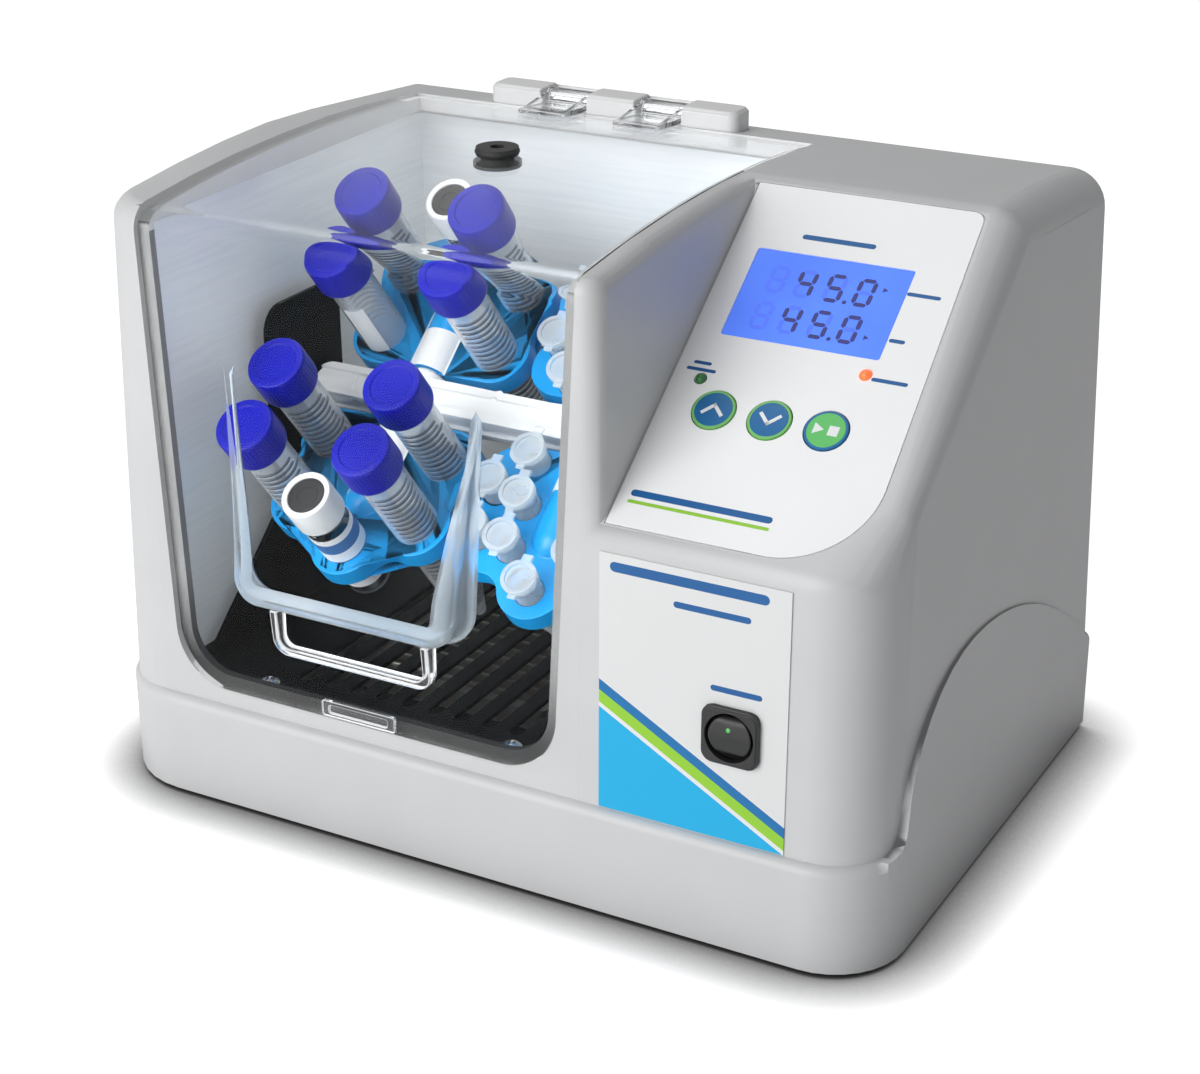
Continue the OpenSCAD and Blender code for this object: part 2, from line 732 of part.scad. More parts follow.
module drive_bush() place() color([0.75, 0.6, 0.3])
  translate([liner_r - 1.5, axis_y, axis_z]) rotate([0, 90, 0]) difference() {
    union() {
      cylinder(h = 1.5, d = shaft_d + 12);
      cylinder(h = control_l - liner_r + 1.5, d = shaft_d + 6);
    }
    translate([0, 0, -1]) cylinder(h = far_out, d = shaft_d + 2 * run_gap);
  }

module motor_bracket() place() color([0.7, 0.71, 0.73]) translate([control_l, axis_y, axis_z]) {
  t = 2;
  difference() {
    union() {
      translate([0, -24, -38]) cube([t, 48, 60]);
      translate([0, -24, -38]) cube([26, 48, t]);
    }
    translate([-1, 0, 0]) rotate([0, 90, 0]) cylinder(h = t + 2, d = shaft_d + 4);
  }
}

module gear_motor() place() color([0.62, 0.63, 0.65])
  translate([control_l + 2, axis_y, axis_z]) difference() {
    translate([0, 0, motor_z - axis_z]) rotate([0, 90, 0]) {
      cylinder(h = 24, d = 37);
      translate([0, 0, 24]) cylinder(h = 30, d = 34);
      translate([0, 0, 54]) cylinder(h = 3, d = 12);
    }
    translate([-1, 0, 0]) rotate([0, 90, 0]) cylinder(h = 19, d = shaft_d + 2 * run_gap);
  }

module temperature_probe() place() color([0.75, 0.76, 0.78])
  translate([liner_r - 18, liner_rear_y - 30, axis_z + 45]) rotate([0, 90, 0]) {
    cylinder(h = 24, d = 4);
    sphere(2);
    translate([0, 0, 15.5]) cylinder(h = 2.5, d = 8, $fn = 6);
  }

// Hinge

module knuckle_x() {
  for (s = [-1, 1]) translate([chamber_x + s * knuckle_pitch / 2, 0, 0]) children();
}

module knuckle_places() {
  knuckle_x() translate([0, hinge_y, hinge_z]) children();
}

module hinge_block() place() color([0.94, 0.94, 0.94]) difference() {
  h = hinge_rise + 1.5 + 4.4;
  translate([chamber_x, hinge_y, roof_z(hinge_y) - 1.5]) {
    linear_extrude(h - 1) rounded(hinge_l, 14, 4);
    translate([0, 0, h - 1]) linear_extrude(1) rounded(hinge_l - 2, 12, 3);
  }
  knuckle_places() translate([-knuckle_w / 2 - 0.3, -10, -5.2]) cube([knuckle_w + 0.6, 16, far_out]);
  translate([chamber_x - hinge_l / 2 + 6, hinge_y, hinge_z]) rotate([0, 90, 0])
    cylinder(h = hinge_l - 12, d = hinge_pin_d + 2 * run_gap);
}

module hinge_pins() place() color([0.7, 0.7, 0.72]) knuckle_places()
  translate([-knuckle_w / 2 - 8, 0, 0]) rotate([0, 90, 0]) cylinder(h = knuckle_w + 16, d = hinge_pin_d);

// Two clear knuckles, each a barrel, a leaf that follows the lid and two triangular gussets
module hinge_knuckles() place() color([0.85, 0.9, 0.92, 0.5]) difference() {
  leaf_t = 1.8;
  leaf_y = lid_rear_y - 15;
  lift = 0.1;
  under = [for (k = [0 : 3]) let (y = leaf_y + 5 * k) [y, roof_z(y) + lift]];
  over = [for (p = turned(under)) [p[0], p[1] + leaf_t]];
  rear_z = roof_z(lid_rear_y) + lift;
  knuckle_x() {
    translate([-knuckle_w / 2, hinge_y, hinge_z]) rotate([0, 90, 0]) cylinder(h = knuckle_w, d = 8);
    along_x(-knuckle_w / 2, knuckle_w / 2)
      polygon(concat(under, [[hinge_y, rear_z], [hinge_y, rear_z + leaf_t]], over));
    for (x = [-knuckle_w / 2, knuckle_w / 2 - 1.5]) along_x(x, x + 1.5) polygon([
      [leaf_y, roof_z(leaf_y) + 1], [hinge_y, rear_z + 1],
      [hinge_y, hinge_z + 4], [hinge_y - 2, hinge_z + 3.4]
    ]);
  }
  translate([chamber_x - hinge_l / 2, hinge_y, hinge_z]) rotate([0, 90, 0])
    cylinder(h = hinge_l, d = hinge_pin_d + 2 * run_gap);
}

// Lid

// Front view of the bulge, shrunk by a margin: straight sides and round lower corners
module bulge_outline(shrink) {
  tilt = atan(lid_taper / (fold_z - lid_z));
  half_top = bulge_w / 2 - shrink;
  r = bulge_r - shrink;
  corner_z = bulge_z + shrink + r;
  corner_x = half_top - (bulge_top_z - corner_z) * tan(tilt) - r / cos(tilt);
  side = [corner_x + r * cos(tilt), corner_z - r * sin(tilt)];
  translate([chamber_x, 0]) {
    polygon([
      [-corner_x, bulge_z + shrink], [corner_x, bulge_z + shrink], side, [half_top, bulge_top_z],
      [-half_top, bulge_top_z], [-side[0], side[1]]
    ]);
    for (x = [-corner_x, corner_x]) translate([x, corner_z]) circle(r);
  }
}

// Wedge in front of the lid: flush at its top, deepest at its foot
module bulge_wedge(shrink, back) {
  intersection() {
    along_y(-far_out, far_out) bulge_outline(shrink);
    along_x(-base_w / 2, base_w / 2) polygon([
      [face_y(bulge_top_z) + shrink, bulge_top_z],
      [face_y(bulge_z) - bulge_depth + shrink, bulge_z],
      [face_y(bulge_z) + back, bulge_z],
      [face_y(bulge_top_z) + back, bulge_top_z]
    ]);
  }
}

module lid_panel() place() color([0.8, 0.86, 0.88, 0.35]) difference() {
  union() {
    intersection() {
      along_x(-base_w / 2, base_w / 2) lid_section(0, lid_t, lid_z, lid_rear_y);
      along_y(-far_out, base_d) lid_outline(0);
    }
    bulge_wedge(0, lid_t / 2);
  }
  bulge_wedge(lid_t, lid_t + 1);
  translate([chamber_x, port_y, roof_z(port_y) - 2 * lid_t])
    cylinder(h = 4 * lid_t, d = port_d - 5);
}

module port_grommet() place() color([0.06, 0.06, 0.06])
  translate([chamber_x, port_y, roof_z(port_y)]) {
    bore = port_d - 5 - 0.2;
    rotate_extrude() {
      translate([2.5, 0.3]) square([port_d / 2 - 3.5, 2.7]);
      translate([port_d / 2 - 1.8, 1.5]) circle(1.2);
      translate([2.5, -lid_t - 0.4]) square([bore / 2 - 2.5, lid_t + 1]);
      translate([2.5, -lid_t - 2.2]) square([port_d / 2 - 2.5, 1.8]);
    }
  }

// Clear U-shaped rim under the bulge, standing on the front of the lid
module lid_pull() place() color([0.82, 0.88, 0.9, 0.5]) {
  rim = 3;
  z1 = bulge_z - eps * 4;
  z0 = z1 - pull_h;
  intersection() {
    along_y(-far_out, far_out) translate([chamber_x, 0]) difference() {
      translate([0, z0 + pull_h]) rounded(pull_w, 2 * pull_h, 6);
      translate([0, z0 + pull_h]) rounded(pull_w - 2 * rim, 2 * pull_h - 2 * rim, 4);
      translate([-pull_w, z1]) square([2 * pull_w, far_out]);
    }
    along_x(-base_w / 2, base_w / 2) polygon([
      [face_y(z0) - eps, z0], [face_y(z1) - eps, z1], [face_y(z1) - pull_d, z1], [face_y(z0) - pull_d + 2, z0]
    ]);
  }
}

module lid_tab() place() color([0.85, 0.9, 0.92, 0.5]) on_face(lid_z + 1)
  translate([chamber_x, 3, eps]) difference() {
    rounded_block(30, 6, 1.4, 1);
    translate([0, 0, 0.7]) rounded_block(24, 3, 1.4, 1);
  }

// Control panel

module panel_overlay() place() color([0.93, 0.94, 0.95]) on_slope() difference() {
  translate([0, 0, -overlay_t]) linear_extrude(overlay_t) overlay_outline(0);
  translate([lcd_x, lcd_s, -wall]) rounded_block(lcd_w, lcd_h, 2 * wall, 1);
  key_places() translate([0, 0, -wall]) cylinder(h = 2 * wall, d = key_d + 0.6);
  light_places() translate([0, 0, -wall]) cylinder(h = 2 * wall, d = led_d + 2 * fit_gap);
}

module lcd_window() place() color([0.25, 0.4, 0.95]) on_slope()
  translate([lcd_x, lcd_s, -2.6]) rounded_block(lcd_w - 0.3, lcd_h - 0.3, 2.4, 1);

module lcd_module() place() color([0.2, 0.22, 0.25]) on_slope()
  translate([lcd_x, lcd_s, board_t - board_drop]) difference() {
    rounded_block(lcd_w + 6, lcd_h + 6, board_drop - board_t - wall - 0.3, 1);
    translate([0, 0, board_drop - board_t - wall - 1.3]) rounded_block(lcd_w - 3, lcd_h - 3, 3, 1);
  }

module indicator_lights() place() color([0.3, 0.7, 0.35]) on_slope() light_places() {
  translate([0, 0, -0.4]) intersection() {
    sphere(led_d / 2);
    cylinder(h = led_d, d = led_d);
  }
  translate([0, 0, board_t - board_drop]) cylinder(h = board_drop - board_t - 0.4, d = led_d);
}

module standoff_places() {
  for (x = [board_l + 5, board_r - 6], y = [key_s - 12, lcd_s + lcd_h / 2 + 9])
    translate([x, y, 0]) children();
}

module control_board() place() color([0.1, 0.35, 0.2]) on_slope() difference() {
  y0 = key_s - 17;
  y1 = lcd_s + lcd_h / 2 + 14;
  translate([board_l, y0, -board_drop]) cube([board_r - board_l, y1 - y0, board_t]);
  standoff_places() translate([0, 0, -far_out]) cylinder(h = 2 * far_out, d = 3.2);
}

module board_standoffs() place() color([0.8, 0.75, 0.5]) on_slope() standoff_places()
  translate([0, 0, board_t - board_drop]) cylinder(h = board_drop - board_t - wall, d = 6, $fn = 6);

module key_switches() place() color([0.15, 0.15, 0.16]) on_slope() key_places()
  translate([0, 0, board_t - board_drop]) {
    rounded_block(6.2, 6.2, 2.4, 0.6);
    cylinder(h = 3, d = 3.4);
  }

module key_cap(k) {
  top = 0.4;
  low = board_t - board_drop + 3 + key_travel + 0.1;
  on_slope() translate([key_x + k * key_pitch, key_s, 0]) {
    translate([0, 0, -2.2]) cylinder(h = 2.2 + top - 0.3, d = key_d);
    translate([0, 0, top - 0.3]) cylinder(h = 0.3, d1 = key_d, d2 = key_d - 0.6);
    translate([0, 0, low]) cylinder(h = -low - 2, d = 6);
  }
}

module up_key() place() color([0.1, 0.35, 0.65]) key_cap(-1);

module down_key() place() color([0.1, 0.35, 0.65]) key_cap(0);

module start_key() place() color([0.35, 0.8, 0.3]) key_cap(1);

module front_label() place() color([0.88, 0.9, 0.92]) difference() {
  t = 0.4;
  z0 = skirt_z + 0.4;
  on_face(z0) translate([label_x, 0, eps]) cube([label_w, (label_top_z - z0) / cos(lean), t]);
  on_face(switch_z) translate([switch_x, 0, -1]) rounded_block(switch_w - 1.2, switch_w - 1.2, 5, 2);
}

module switch_bezel() place() color([0.06, 0.06, 0.07]) on_face(switch_z) translate([switch_x, 0, 0]) {
  difference() {
    union() {
      translate([0, 0, 0.5]) rounded_block(switch_w, switch_w, 1.7, 4);
      translate([0, 0, 2.2]) rounded_block(switch_w - 1.4, switch_w - 1.4, 0.6, 3.4);
      translate([0, 0, -14]) rounded_block(switch_w - 1.6, switch_w - 1.6, 15, 2);
    }
    translate([0, 0, -9]) cylinder(h = far_out, d = rocker_d + 2 * rocker_room);
    rotate([0, 90, 0]) translate([3, 0, -switch_w / 2]) cylinder(h = switch_w, d = 2 + 2 * run_gap);
  }
}

// Round rocker on a cross pin, leaning to its off side
module rocker() place() color([0.05, 0.05, 0.05]) on_face(switch_z) translate([switch_x, 0, -3]) {
  intersection() {
    translate([0, 0, -4]) cylinder(h = 12, d = rocker_d);
    rotate([0, 90, 0]) translate([0, 0, -rocker_d / 2]) cylinder(h = rocker_d, r = rocker_d / 2 - 0.6);
    for (s = [0, 1]) mirror([0, s, 0]) rotate([-7, 0, 0]) translate([-rocker_d, 0, -far_out])
      cube([2 * rocker_d, rocker_d, far_out + 5.6]);
  }
  rotate([0, 90, 0]) translate([0, 0, 1 - switch_w / 2]) cylinder(h = switch_w - 2, d = 2);
}

// Electrics

module power_supply() place() color([0.25, 0.28, 0.3])
  translate([divider_x + 12, base_d - 96, foot_h + base_plate_t]) {
    cube([72, 66, 3]);
    translate([6, 6, 3]) cube([26, 24, 22]);
    translate([40, 8, 3]) cube([20, 16, 16]);
    for (y = [40, 54]) translate([16, y, 3]) cylinder(h = 24, d = 12);
    translate([36, 36, 3]) cube([4, 24, 26]);
    translate([50, 48, 3]) cylinder(h = 14, d = 20);
  }

module power_inlet() place() color([0.08, 0.08, 0.09])
  translate([inlet_x, inlet_seat_y, inlet_z]) difference() {
    union() {
      along_y(0.05, 2.5) rounded(inlet_w - 0.6, inlet_h - 0.6, 3);
      along_y(-20, 0.1) rounded(28, 20, 2);
    }
    along_y(-16, far_out) rounded(23, 15, 3);
  }

// Rotor

module rotor_beam() place() color([0.95, 0.95, 0.95]) on_rotor() difference() {
  groove = 1.6;
  union() {
    intersection() {
      along_x(beam_l, beam_r) difference() {
        square([beam_w, beam_h], center = true);
        for (s = [-1, 1]) {
          translate([0, s * beam_h / 2]) square([beam_w - 6, 2 * groove], center = true);
          translate([s * beam_w / 2, 0]) square([2 * groove, beam_h - 6], center = true);
        }
      }
      union() {
        translate([beam_l + beam_w / 2, 0, -beam_h]) cylinder(h = 2 * beam_h, d = beam_w);
        translate([beam_l + beam_w / 2, -beam_w / 2, -beam_h]) cube([beam_r - beam_l, beam_w, 2 * beam_h]);
      }
    }
    translate([beam_l + 2, 0, 0]) rotate([0, 90, 0]) cylinder(h = 16, d = beam_h - 0.4);
    translate([beam_r - 16, 0, 0]) rotate([0, 90, 0]) cylinder(h = 16, d = beam_h - 0.4);
    for (x = [tube_x, micro_x]) translate([x, 0, 0]) rotate([90, 0, 0]) {
      translate([0, 0, -post_end]) cylinder(h = 2 * post_end, d = post_d);
      translate([0, 0, -9.6]) cylinder(h = 19.2, d = post_d + 4);
    }
  }
  translate([beam_l - 1, 0, 0]) rotate([0, 90, 0]) cylinder(h = 14, d = 6 + 2 * run_gap);
  translate([beam_r - 14, 0, 0]) rotate([0, 90, 0]) cylinder(h = 15, d = shaft_d + 2 * fit_gap / 3);
}

module drive_shaft() place() color([0.7, 0.7, 0.72]) on_rotor()
  translate([beam_r - 13, 0, 0]) rotate([0, 90, 0]) {
    cylinder(h = control_l - beam_r + 13 + 18, d = shaft_d);
    translate([0, 0, 13.2]) cylinder(h = 3, d = shaft_d + 5);
  }

// Middles of the five places of a holder, on its own side of the axis
function places() = [[-row_x, near_s], [row_x, near_s], [-row_x, mid_s], [row_x, mid_s], [0, far_s]];

function blend_middle(p, q, r, f) = let (
  m = (p + q) / 2,
  d = norm(q - p),
  n = [(q - p)[1], -(q - p)[0]] / d
) m + n * sqrt((r + f) * (r + f) - d * d / 4);

// Lobes round the five places, with a hollow blend between one lobe and the next
module holder_outline(r) {
  f = 9 + lobe_r - r;
  p = places();
  ring = [p[1], p[3], p[4], p[2], p[0]];
  middles = [for (k = [0 : 3]) blend_middle(ring[k], ring[k + 1], r, f)];
  difference() {
    polygon([for (k = [0 : 4]) each k < 4 ? [ring[k], middles[k]] : [ring[k]]]);
    for (c = middles) translate(c) circle(f + eps);
  }
  for (c = p) translate(c) circle(r);
  translate([-row_x, near_s - r + eps]) square([2 * row_x, r + 2]);
}

// Curved slot that frees a spring tongue beside a hole
module spring_slot(r, a) {
  w = 1.3;
  rotate(a) difference() {
    circle(r + w);
    circle(r);
    for (s = [-1, 1]) rotate(s * 52) translate([-3 * r, s > 0 ? 0 : -6 * r]) square([6 * r, 6 * r]);
    translate([-3 * r, -3 * r]) square([3 * r, 6 * r]);
  }
}

module holder_blank() {
  top = holder_t / 2;
  sleeve_l = post_end + 4 - near_s + lobe_r;
  translate([0, 0, -top]) linear_extrude(holder_t) holder_outline(lobe_r);
  translate([0, near_s - lobe_r + 0.2, 0]) rotate([-90, 0, 0])
    cylinder(h = sleeve_l - 0.2, d = post_d + 5);
  translate([0, post_end + 4, 0]) sphere(d = post_d + 5);
}

module post_bore() {
  rotate([-90, 0, 0]) cylinder(h = post_end + 0.2, d = post_d + 2 * fit_gap / 3);
}

// Shallow dish inside the raised rim, on both faces
module rim_dish() {
  rim = 2.2;
  dish = 0.8;
  for (s = [0, 1]) mirror([0, 0, s]) translate([0, 0, holder_t / 2 - dish])
    linear_extrude(far_out) difference() {
      holder_outline(lobe_r - rim);
      translate([-(post_d + 5) / 2, 0]) square([post_d + 5, post_end + 4]);
      translate([0, post_end + 4]) circle(d = post_d + 5);
    }
}

module tube_holder(side) {
  on_rotor() translate([tube_x, 0, 0]) rotate(side > 0 ? 0 : 180) difference() {
    holder_blank();
    rim_dish();
    post_bore();
    for (p = places()) translate([p[0], p[1], -holder_t]) {
      cylinder(h = 2 * holder_t, r = hole_r);
      linear_extrude(2 * holder_t) for (a = [0, 180]) spring_slot(hole_r + 1.2, a + 90);
    }
  }
}

function micro_places() = [
  for (s = [-1, 1]) each [[s * 18, 17], [s * 27.6, 30.5], [s * 14.6, 34], [s * 27, 49], [s * 13.5, 51]],
  [0, 65]
];

module micro_holder(side) {
  on_rotor() translate([micro_x, 0, 0]) rotate(side > 0 ? 0 : 180) difference() {
    holder_blank();
    post_bore();
    for (p = micro_places()) translate([p[0], p[1], -holder_t])
      cylinder(h = 2 * holder_t, r = micro_d / 2 + fit_gap);
  }
}

module tube_holder_front() place() color([0.1, 0.62, 0.95]) tube_holder(-1);

module tube_holder_rear() place() color([0.1, 0.62, 0.95]) tube_holder(1);

module micro_holder_front() place() color([0.1, 0.62, 0.95]) micro_holder(-1);

module micro_holder_rear() place() color([0.1, 0.62, 0.95]) micro_holder(1);

module tube_places() {
  on_rotor() translate([tube_x, 0, 0]) for (side = [0, 180], k = [0 : 3])
    rotate(side) translate([places()[k][0], places()[k][1], 0])
      rotate(-side) children();
}

module conical_tubes() place() color([0.85, 0.9, 0.93, 0.6]) tube_places() {
  r = tube_d / 2;
  z1 = cap_top - 1.6;
  z0 = cap_top - tube_l;
  tip = 2.4;
  cone = 22;
  t = 1;
  rotate_extrude() difference() {
    polygon([[0, z0], [tip, z0], [r, z0 + cone], [r, z1], [0, z1]]);
    polygon([[-1, z0 + 2], [tip - 0.6, z0 + 2], [r - t, z0 + cone + 0.6], [r - t, z1 + 1], [-1, z1 + 1]]);
    translate([-r, z0 - 1]) square([r, z1 - z0 + 3]);
  }
}

module tube_caps() place() color([0.1, 0.08, 0.72]) tube_places() {
  r = cap_d / 2;
  skin = 1.5;
  rim = 1.2;
  rotate_extrude() difference() {
    union() {
      translate([0, cap_top - cap_h]) square([r, cap_h - rim]);
      translate([0, cap_top - rim]) square([r - rim, rim]);
      translate([r - rim, cap_top - rim]) intersection() {
        circle(rim);
        square(rim);
      }
    }
    translate([-1, cap_top - cap_h - 1]) square([tube_d / 2 + fit_gap + 1, cap_h + 1 - skin]);
  }
}

module vial_places() {
  on_rotor() translate([tube_x, 0, 0]) for (side = [0, 180])
    rotate(side) translate([0, far_s, 0]) rotate(-side) children();
}

module vials() place() color([0.8, 0.88, 0.92, 0.6]) vial_places() rotate_extrude() difference() {
  union() {
    translate([0, vial_top - 56]) square([vial_d / 2, 44]);
    translate([0, vial_top - 13]) square([6.4, 12]);
  }
  translate([0, vial_top - 54.6]) square([vial_d / 2 - 1.2, 41]);
  translate([0, vial_top - 20]) square([4.8, 21]);
}

module vial_caps() place() color([0.95, 0.95, 0.95]) vial_places() rotate_extrude() difference() {
  translate([0, vial_top - 11.6]) square([9.2, 13.4]);
  translate([0, vial_top - 12]) square([6.5, 11.4]);
  translate([0, vial_top - 1]) square([7, 4]);
}

module vial_septa() place() color([0.08, 0.08, 0.08]) vial_places() rotate_extrude() {
  translate([0, vial_top - 0.9]) square([6.9, 1.9]);
  translate([1.8, vial_top + 0.9]) square([1, 0.4]);
}

module micro_tube_places() {
  on_rotor() translate([micro_x, 0, 0]) for (side = [0, 180], p = micro_places())
    rotate(side) translate([p[0], p[1], 0]) rotate(-side) children();
}

module micro_tubes() place() color([0.85, 0.92, 0.95, 0.6]) micro_tube_places() {
  r = micro_d / 2;
  rotate_extrude() difference() {
    union() {
      polygon([
        [0, micro_top - 39], [2, micro_top - 39], [r, micro_top - 21], [r, micro_top], [0, micro_top]
      ]);
      translate([0, micro_top - 2]) square([r + 0.9, 2]);
    }
    polygon([
      [0, micro_top - 37.4], [1.4, micro_top - 37.4], [r - 0.9, micro_top - 20.6],
      [r - 0.9, micro_top + 1], [0, micro_top + 1]
    ]);
  }
}

module micro_caps() place() color([0.9, 0.94, 0.96, 0.7]) micro_tube_places() {
  r = micro_cap_d / 2;
  translate([0, 0, micro_top]) {
    difference() {
      cylinder(h = 2.2, r = r);
      translate([0, 0, 1.4]) cylinder(h = 2, r = r - 1.6);
    }
    translate([-2, r - 1, 0.4]) cube([4, 3.4, 1.2]);
    translate([-1.6, -r - 1.4, 0]) cube([3.2, 2.4, 0.9]);
    translate([0, 0, -2.8]) cylinder(h = 3, r = micro_d / 2 - 1);
  }
}

housing();
base_plate();
feet();
base_screws();
chamber_liner();
floor_grille();
grille_screws();
heater_element();
fan_frame();
fan_impeller();
idler_bracket();
idler_pin();
drive_bush();
gear_motor();
motor_bracket();
hinge_block();
hinge_pins();
panel_overlay();
lcd_window();
lcd_module();
indicator_lights();
control_board();
board_standoffs();
key_switches();
up_key();
down_key();
start_key();
front_label();
switch_bezel();
rocker();
power_supply();
power_inlet();
temperature_probe();
lid_panel();
lid_pull();
lid_tab();
hinge_knuckles();
port_grommet();
rotor_beam();
drive_shaft();
tube_holder_front();
tube_holder_rear();
micro_holder_front();
micro_holder_rear();
conical_tubes();
tube_caps();
vials();
vial_caps();
vial_septa();
micro_tubes();
micro_caps();
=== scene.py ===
# %% [markdown]
# # Dressing an incubated rotator
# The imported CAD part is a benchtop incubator: a grey moulded housing, a clear lid, a steel chamber and a
# rotor full of tubes. The CAD gives every shape its true size. This script gives the surfaces their looks:
# soft normals on moulded forms, rounded rims on clear plastic, ribs on caps, print on film and light.

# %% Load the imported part
import bmesh
import bpy
import json
import math
from mathutils import Matrix, Vector

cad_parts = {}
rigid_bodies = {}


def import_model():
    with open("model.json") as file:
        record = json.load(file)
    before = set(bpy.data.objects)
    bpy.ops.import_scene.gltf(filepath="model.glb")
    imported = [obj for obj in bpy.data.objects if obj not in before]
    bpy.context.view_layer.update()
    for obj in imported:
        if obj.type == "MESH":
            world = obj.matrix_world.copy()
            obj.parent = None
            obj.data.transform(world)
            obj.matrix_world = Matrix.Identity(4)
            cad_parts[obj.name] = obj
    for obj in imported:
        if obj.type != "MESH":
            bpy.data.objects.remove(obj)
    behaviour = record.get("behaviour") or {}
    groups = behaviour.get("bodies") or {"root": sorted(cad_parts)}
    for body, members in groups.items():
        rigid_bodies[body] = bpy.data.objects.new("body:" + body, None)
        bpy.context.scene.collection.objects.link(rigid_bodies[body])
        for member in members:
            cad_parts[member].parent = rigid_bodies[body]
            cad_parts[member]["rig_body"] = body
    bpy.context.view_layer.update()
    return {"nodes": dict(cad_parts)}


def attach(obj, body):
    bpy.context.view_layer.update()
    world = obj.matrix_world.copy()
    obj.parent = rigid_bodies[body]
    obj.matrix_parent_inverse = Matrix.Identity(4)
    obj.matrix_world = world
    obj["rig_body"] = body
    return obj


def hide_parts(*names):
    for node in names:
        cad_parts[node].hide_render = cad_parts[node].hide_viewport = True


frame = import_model()
nodes = frame["nodes"]
scene = bpy.context.scene
scene.view_settings.view_transform = "Standard"

# %% [markdown]
# ## Modelling frames
# The CAD was drawn in millimetres from the front of the base, and tilted groups such as the control panel
# were drawn flat. The same frames here let each new piece be modelled flat too, and laid in place by one
# matrix at the end. A finished mesh holds its place in its vertices, so every object stays at the origin.

# %% Frames
MM = 0.001
FRONT_Y = -97.7213
SKIRT_Z = 40.0
LEAN = math.tan(math.radians(1.2))
FACE_SETBACK = 3.5
ROOF_Z, CROWN, MID_Y = 216, 7, 102


def face_y(z):
    """Depth of the leaning front at a height."""
    return FACE_SETBACK + (z - SKIRT_Z) * LEAN


def roof_z(y):
    """Height of the crowned roof at a depth."""
    return ROOF_Z + CROWN * (1 - ((y - MID_Y) / MID_Y) ** 2)


def frame_at(x, y, z, turn=0.0):
    place = Matrix.Translation(Vector((x, y + FRONT_Y, z)) * MM)
    return place @ Matrix.Rotation(math.radians(turn), 4, "X") @ Matrix.Scale(MM, 4)


BENCH = frame_at(0, 0, 0)
PANEL = frame_at(0, face_y(135.5), 135.5, 37)
SWITCH = frame_at(101.2, face_y(78), 78, 88.8)
ROTOR = frame_at(0, 94, 129.5, 39)
CHAMBER_X = -40.0
print("panel lip at", [round(v, 4) for v in PANEL.translation])

# %% [markdown]
# ## Camera
# The photograph's lens and standpoint were worked out from the edges of the base and the panel. A long lens
# a little above the right front corner gives the same slight convergence.

# %% Camera
AZIMUTH, ELEVATION, ROLL = (math.radians(a) for a in (29.037, 23.858, -0.43))
STANDPOINT = (0.392778, -0.703019, 0.444517)
SENSOR_W, LENS = 36, 73.33
right = Vector((math.cos(AZIMUTH), math.sin(AZIMUTH), 0))
back = Vector((right.y, -right.x, 0)) * math.cos(ELEVATION) + Vector((0, 0, math.sin(ELEVATION)))
up = back.cross(right)
across = right * math.cos(ROLL) + up * math.sin(ROLL)
above = up * math.cos(ROLL) - right * math.sin(ROLL)
camera = bpy.data.objects.new("camera", bpy.data.cameras.new("camera"))
camera.data.sensor_fit = "HORIZONTAL"
camera.data.sensor_width = SENSOR_W
camera.data.lens = LENS
camera.data.clip_start = 0.01
turned = Matrix((across, above, back)).transposed().to_4x4()
camera.matrix_world = Matrix.Translation(STANDPOINT) @ turned
scene.collection.objects.link(camera)
scene.camera = camera
print("camera at", [round(v, 3) for v in camera.location])

# %% [markdown]
# ## Light and floor
# A broad lamp near the camera's left lights the grey housing as a studio would: bright front, half-bright
# roof, shaded right side. The world could be one bright white, but that would wash the housing out. So it is
# white to the eye, through clear plastic and half so in reflections, and a quiet grey as a light.
# The floor glows up to white in the same way, and an Ambient Occlusion node darkens it close to the object.


# %% Light helpers
def link(tree, out_node, out_name, in_node, in_name):
    tree.links.new(out_node.outputs[out_name], in_node.inputs[in_name])


def add(tree, kind, **values):
    made = tree.nodes.new("ShaderNode" + kind)
    for name, value in values.items():
        if hasattr(made, name):
            setattr(made, name, value)
        else:
            made.inputs[name.replace("_", " ")].default_value = value
    return made


def combined(tree, operation, first, second=0):
    """What a Math node makes of two sockets or numbers."""
    made = add(tree, "Math", operation=operation)
    for number, part in enumerate((first, second)):
        if isinstance(part, (int, float)):
            made.inputs[number].default_value = part
        else:
            tree.links.new(part, made.inputs[number])
    return made.outputs[0]


def between(tree, value, low, high):
    """1 where a value lies between two limits."""
    above_low = combined(tree, "GREATER_THAN", value, low)
    return combined(tree, "MULTIPLY", above_low, combined(tree, "LESS_THAN", value, high))


GLOSS_SHARE = 0.55


def seen_directly(tree):
    """1 for rays from the eye, also through clear plastic, and about half for rays from a gloss."""
    path = add(tree, "LightPath")
    gloss = combined(tree, "MULTIPLY", path.outputs["Is Glossy Ray"], GLOSS_SHARE)
    first = combined(tree, "LESS_THAN", path.outputs["Diffuse Depth"], 0.5)
    through = combined(tree, "MULTIPLY", path.outputs["Is Transmission Ray"], first)
    indirect = combined(tree, "MAXIMUM", gloss, through)
    return combined(tree, "MAXIMUM", path.outputs["Is Camera Ray"], indirect)


def lamp(name, at, aim, size, power):
    data = bpy.data.lights.new(name, "AREA")
    data.shape = "DISK"
    data.size = size
    data.energy = power
    obj = bpy.data.objects.new(name, data)
    obj.location = at
    obj.rotation_euler = (Vector(aim) - Vector(at)).to_track_quat("-Z", "Y").to_euler()
    scene.collection.objects.link(obj)


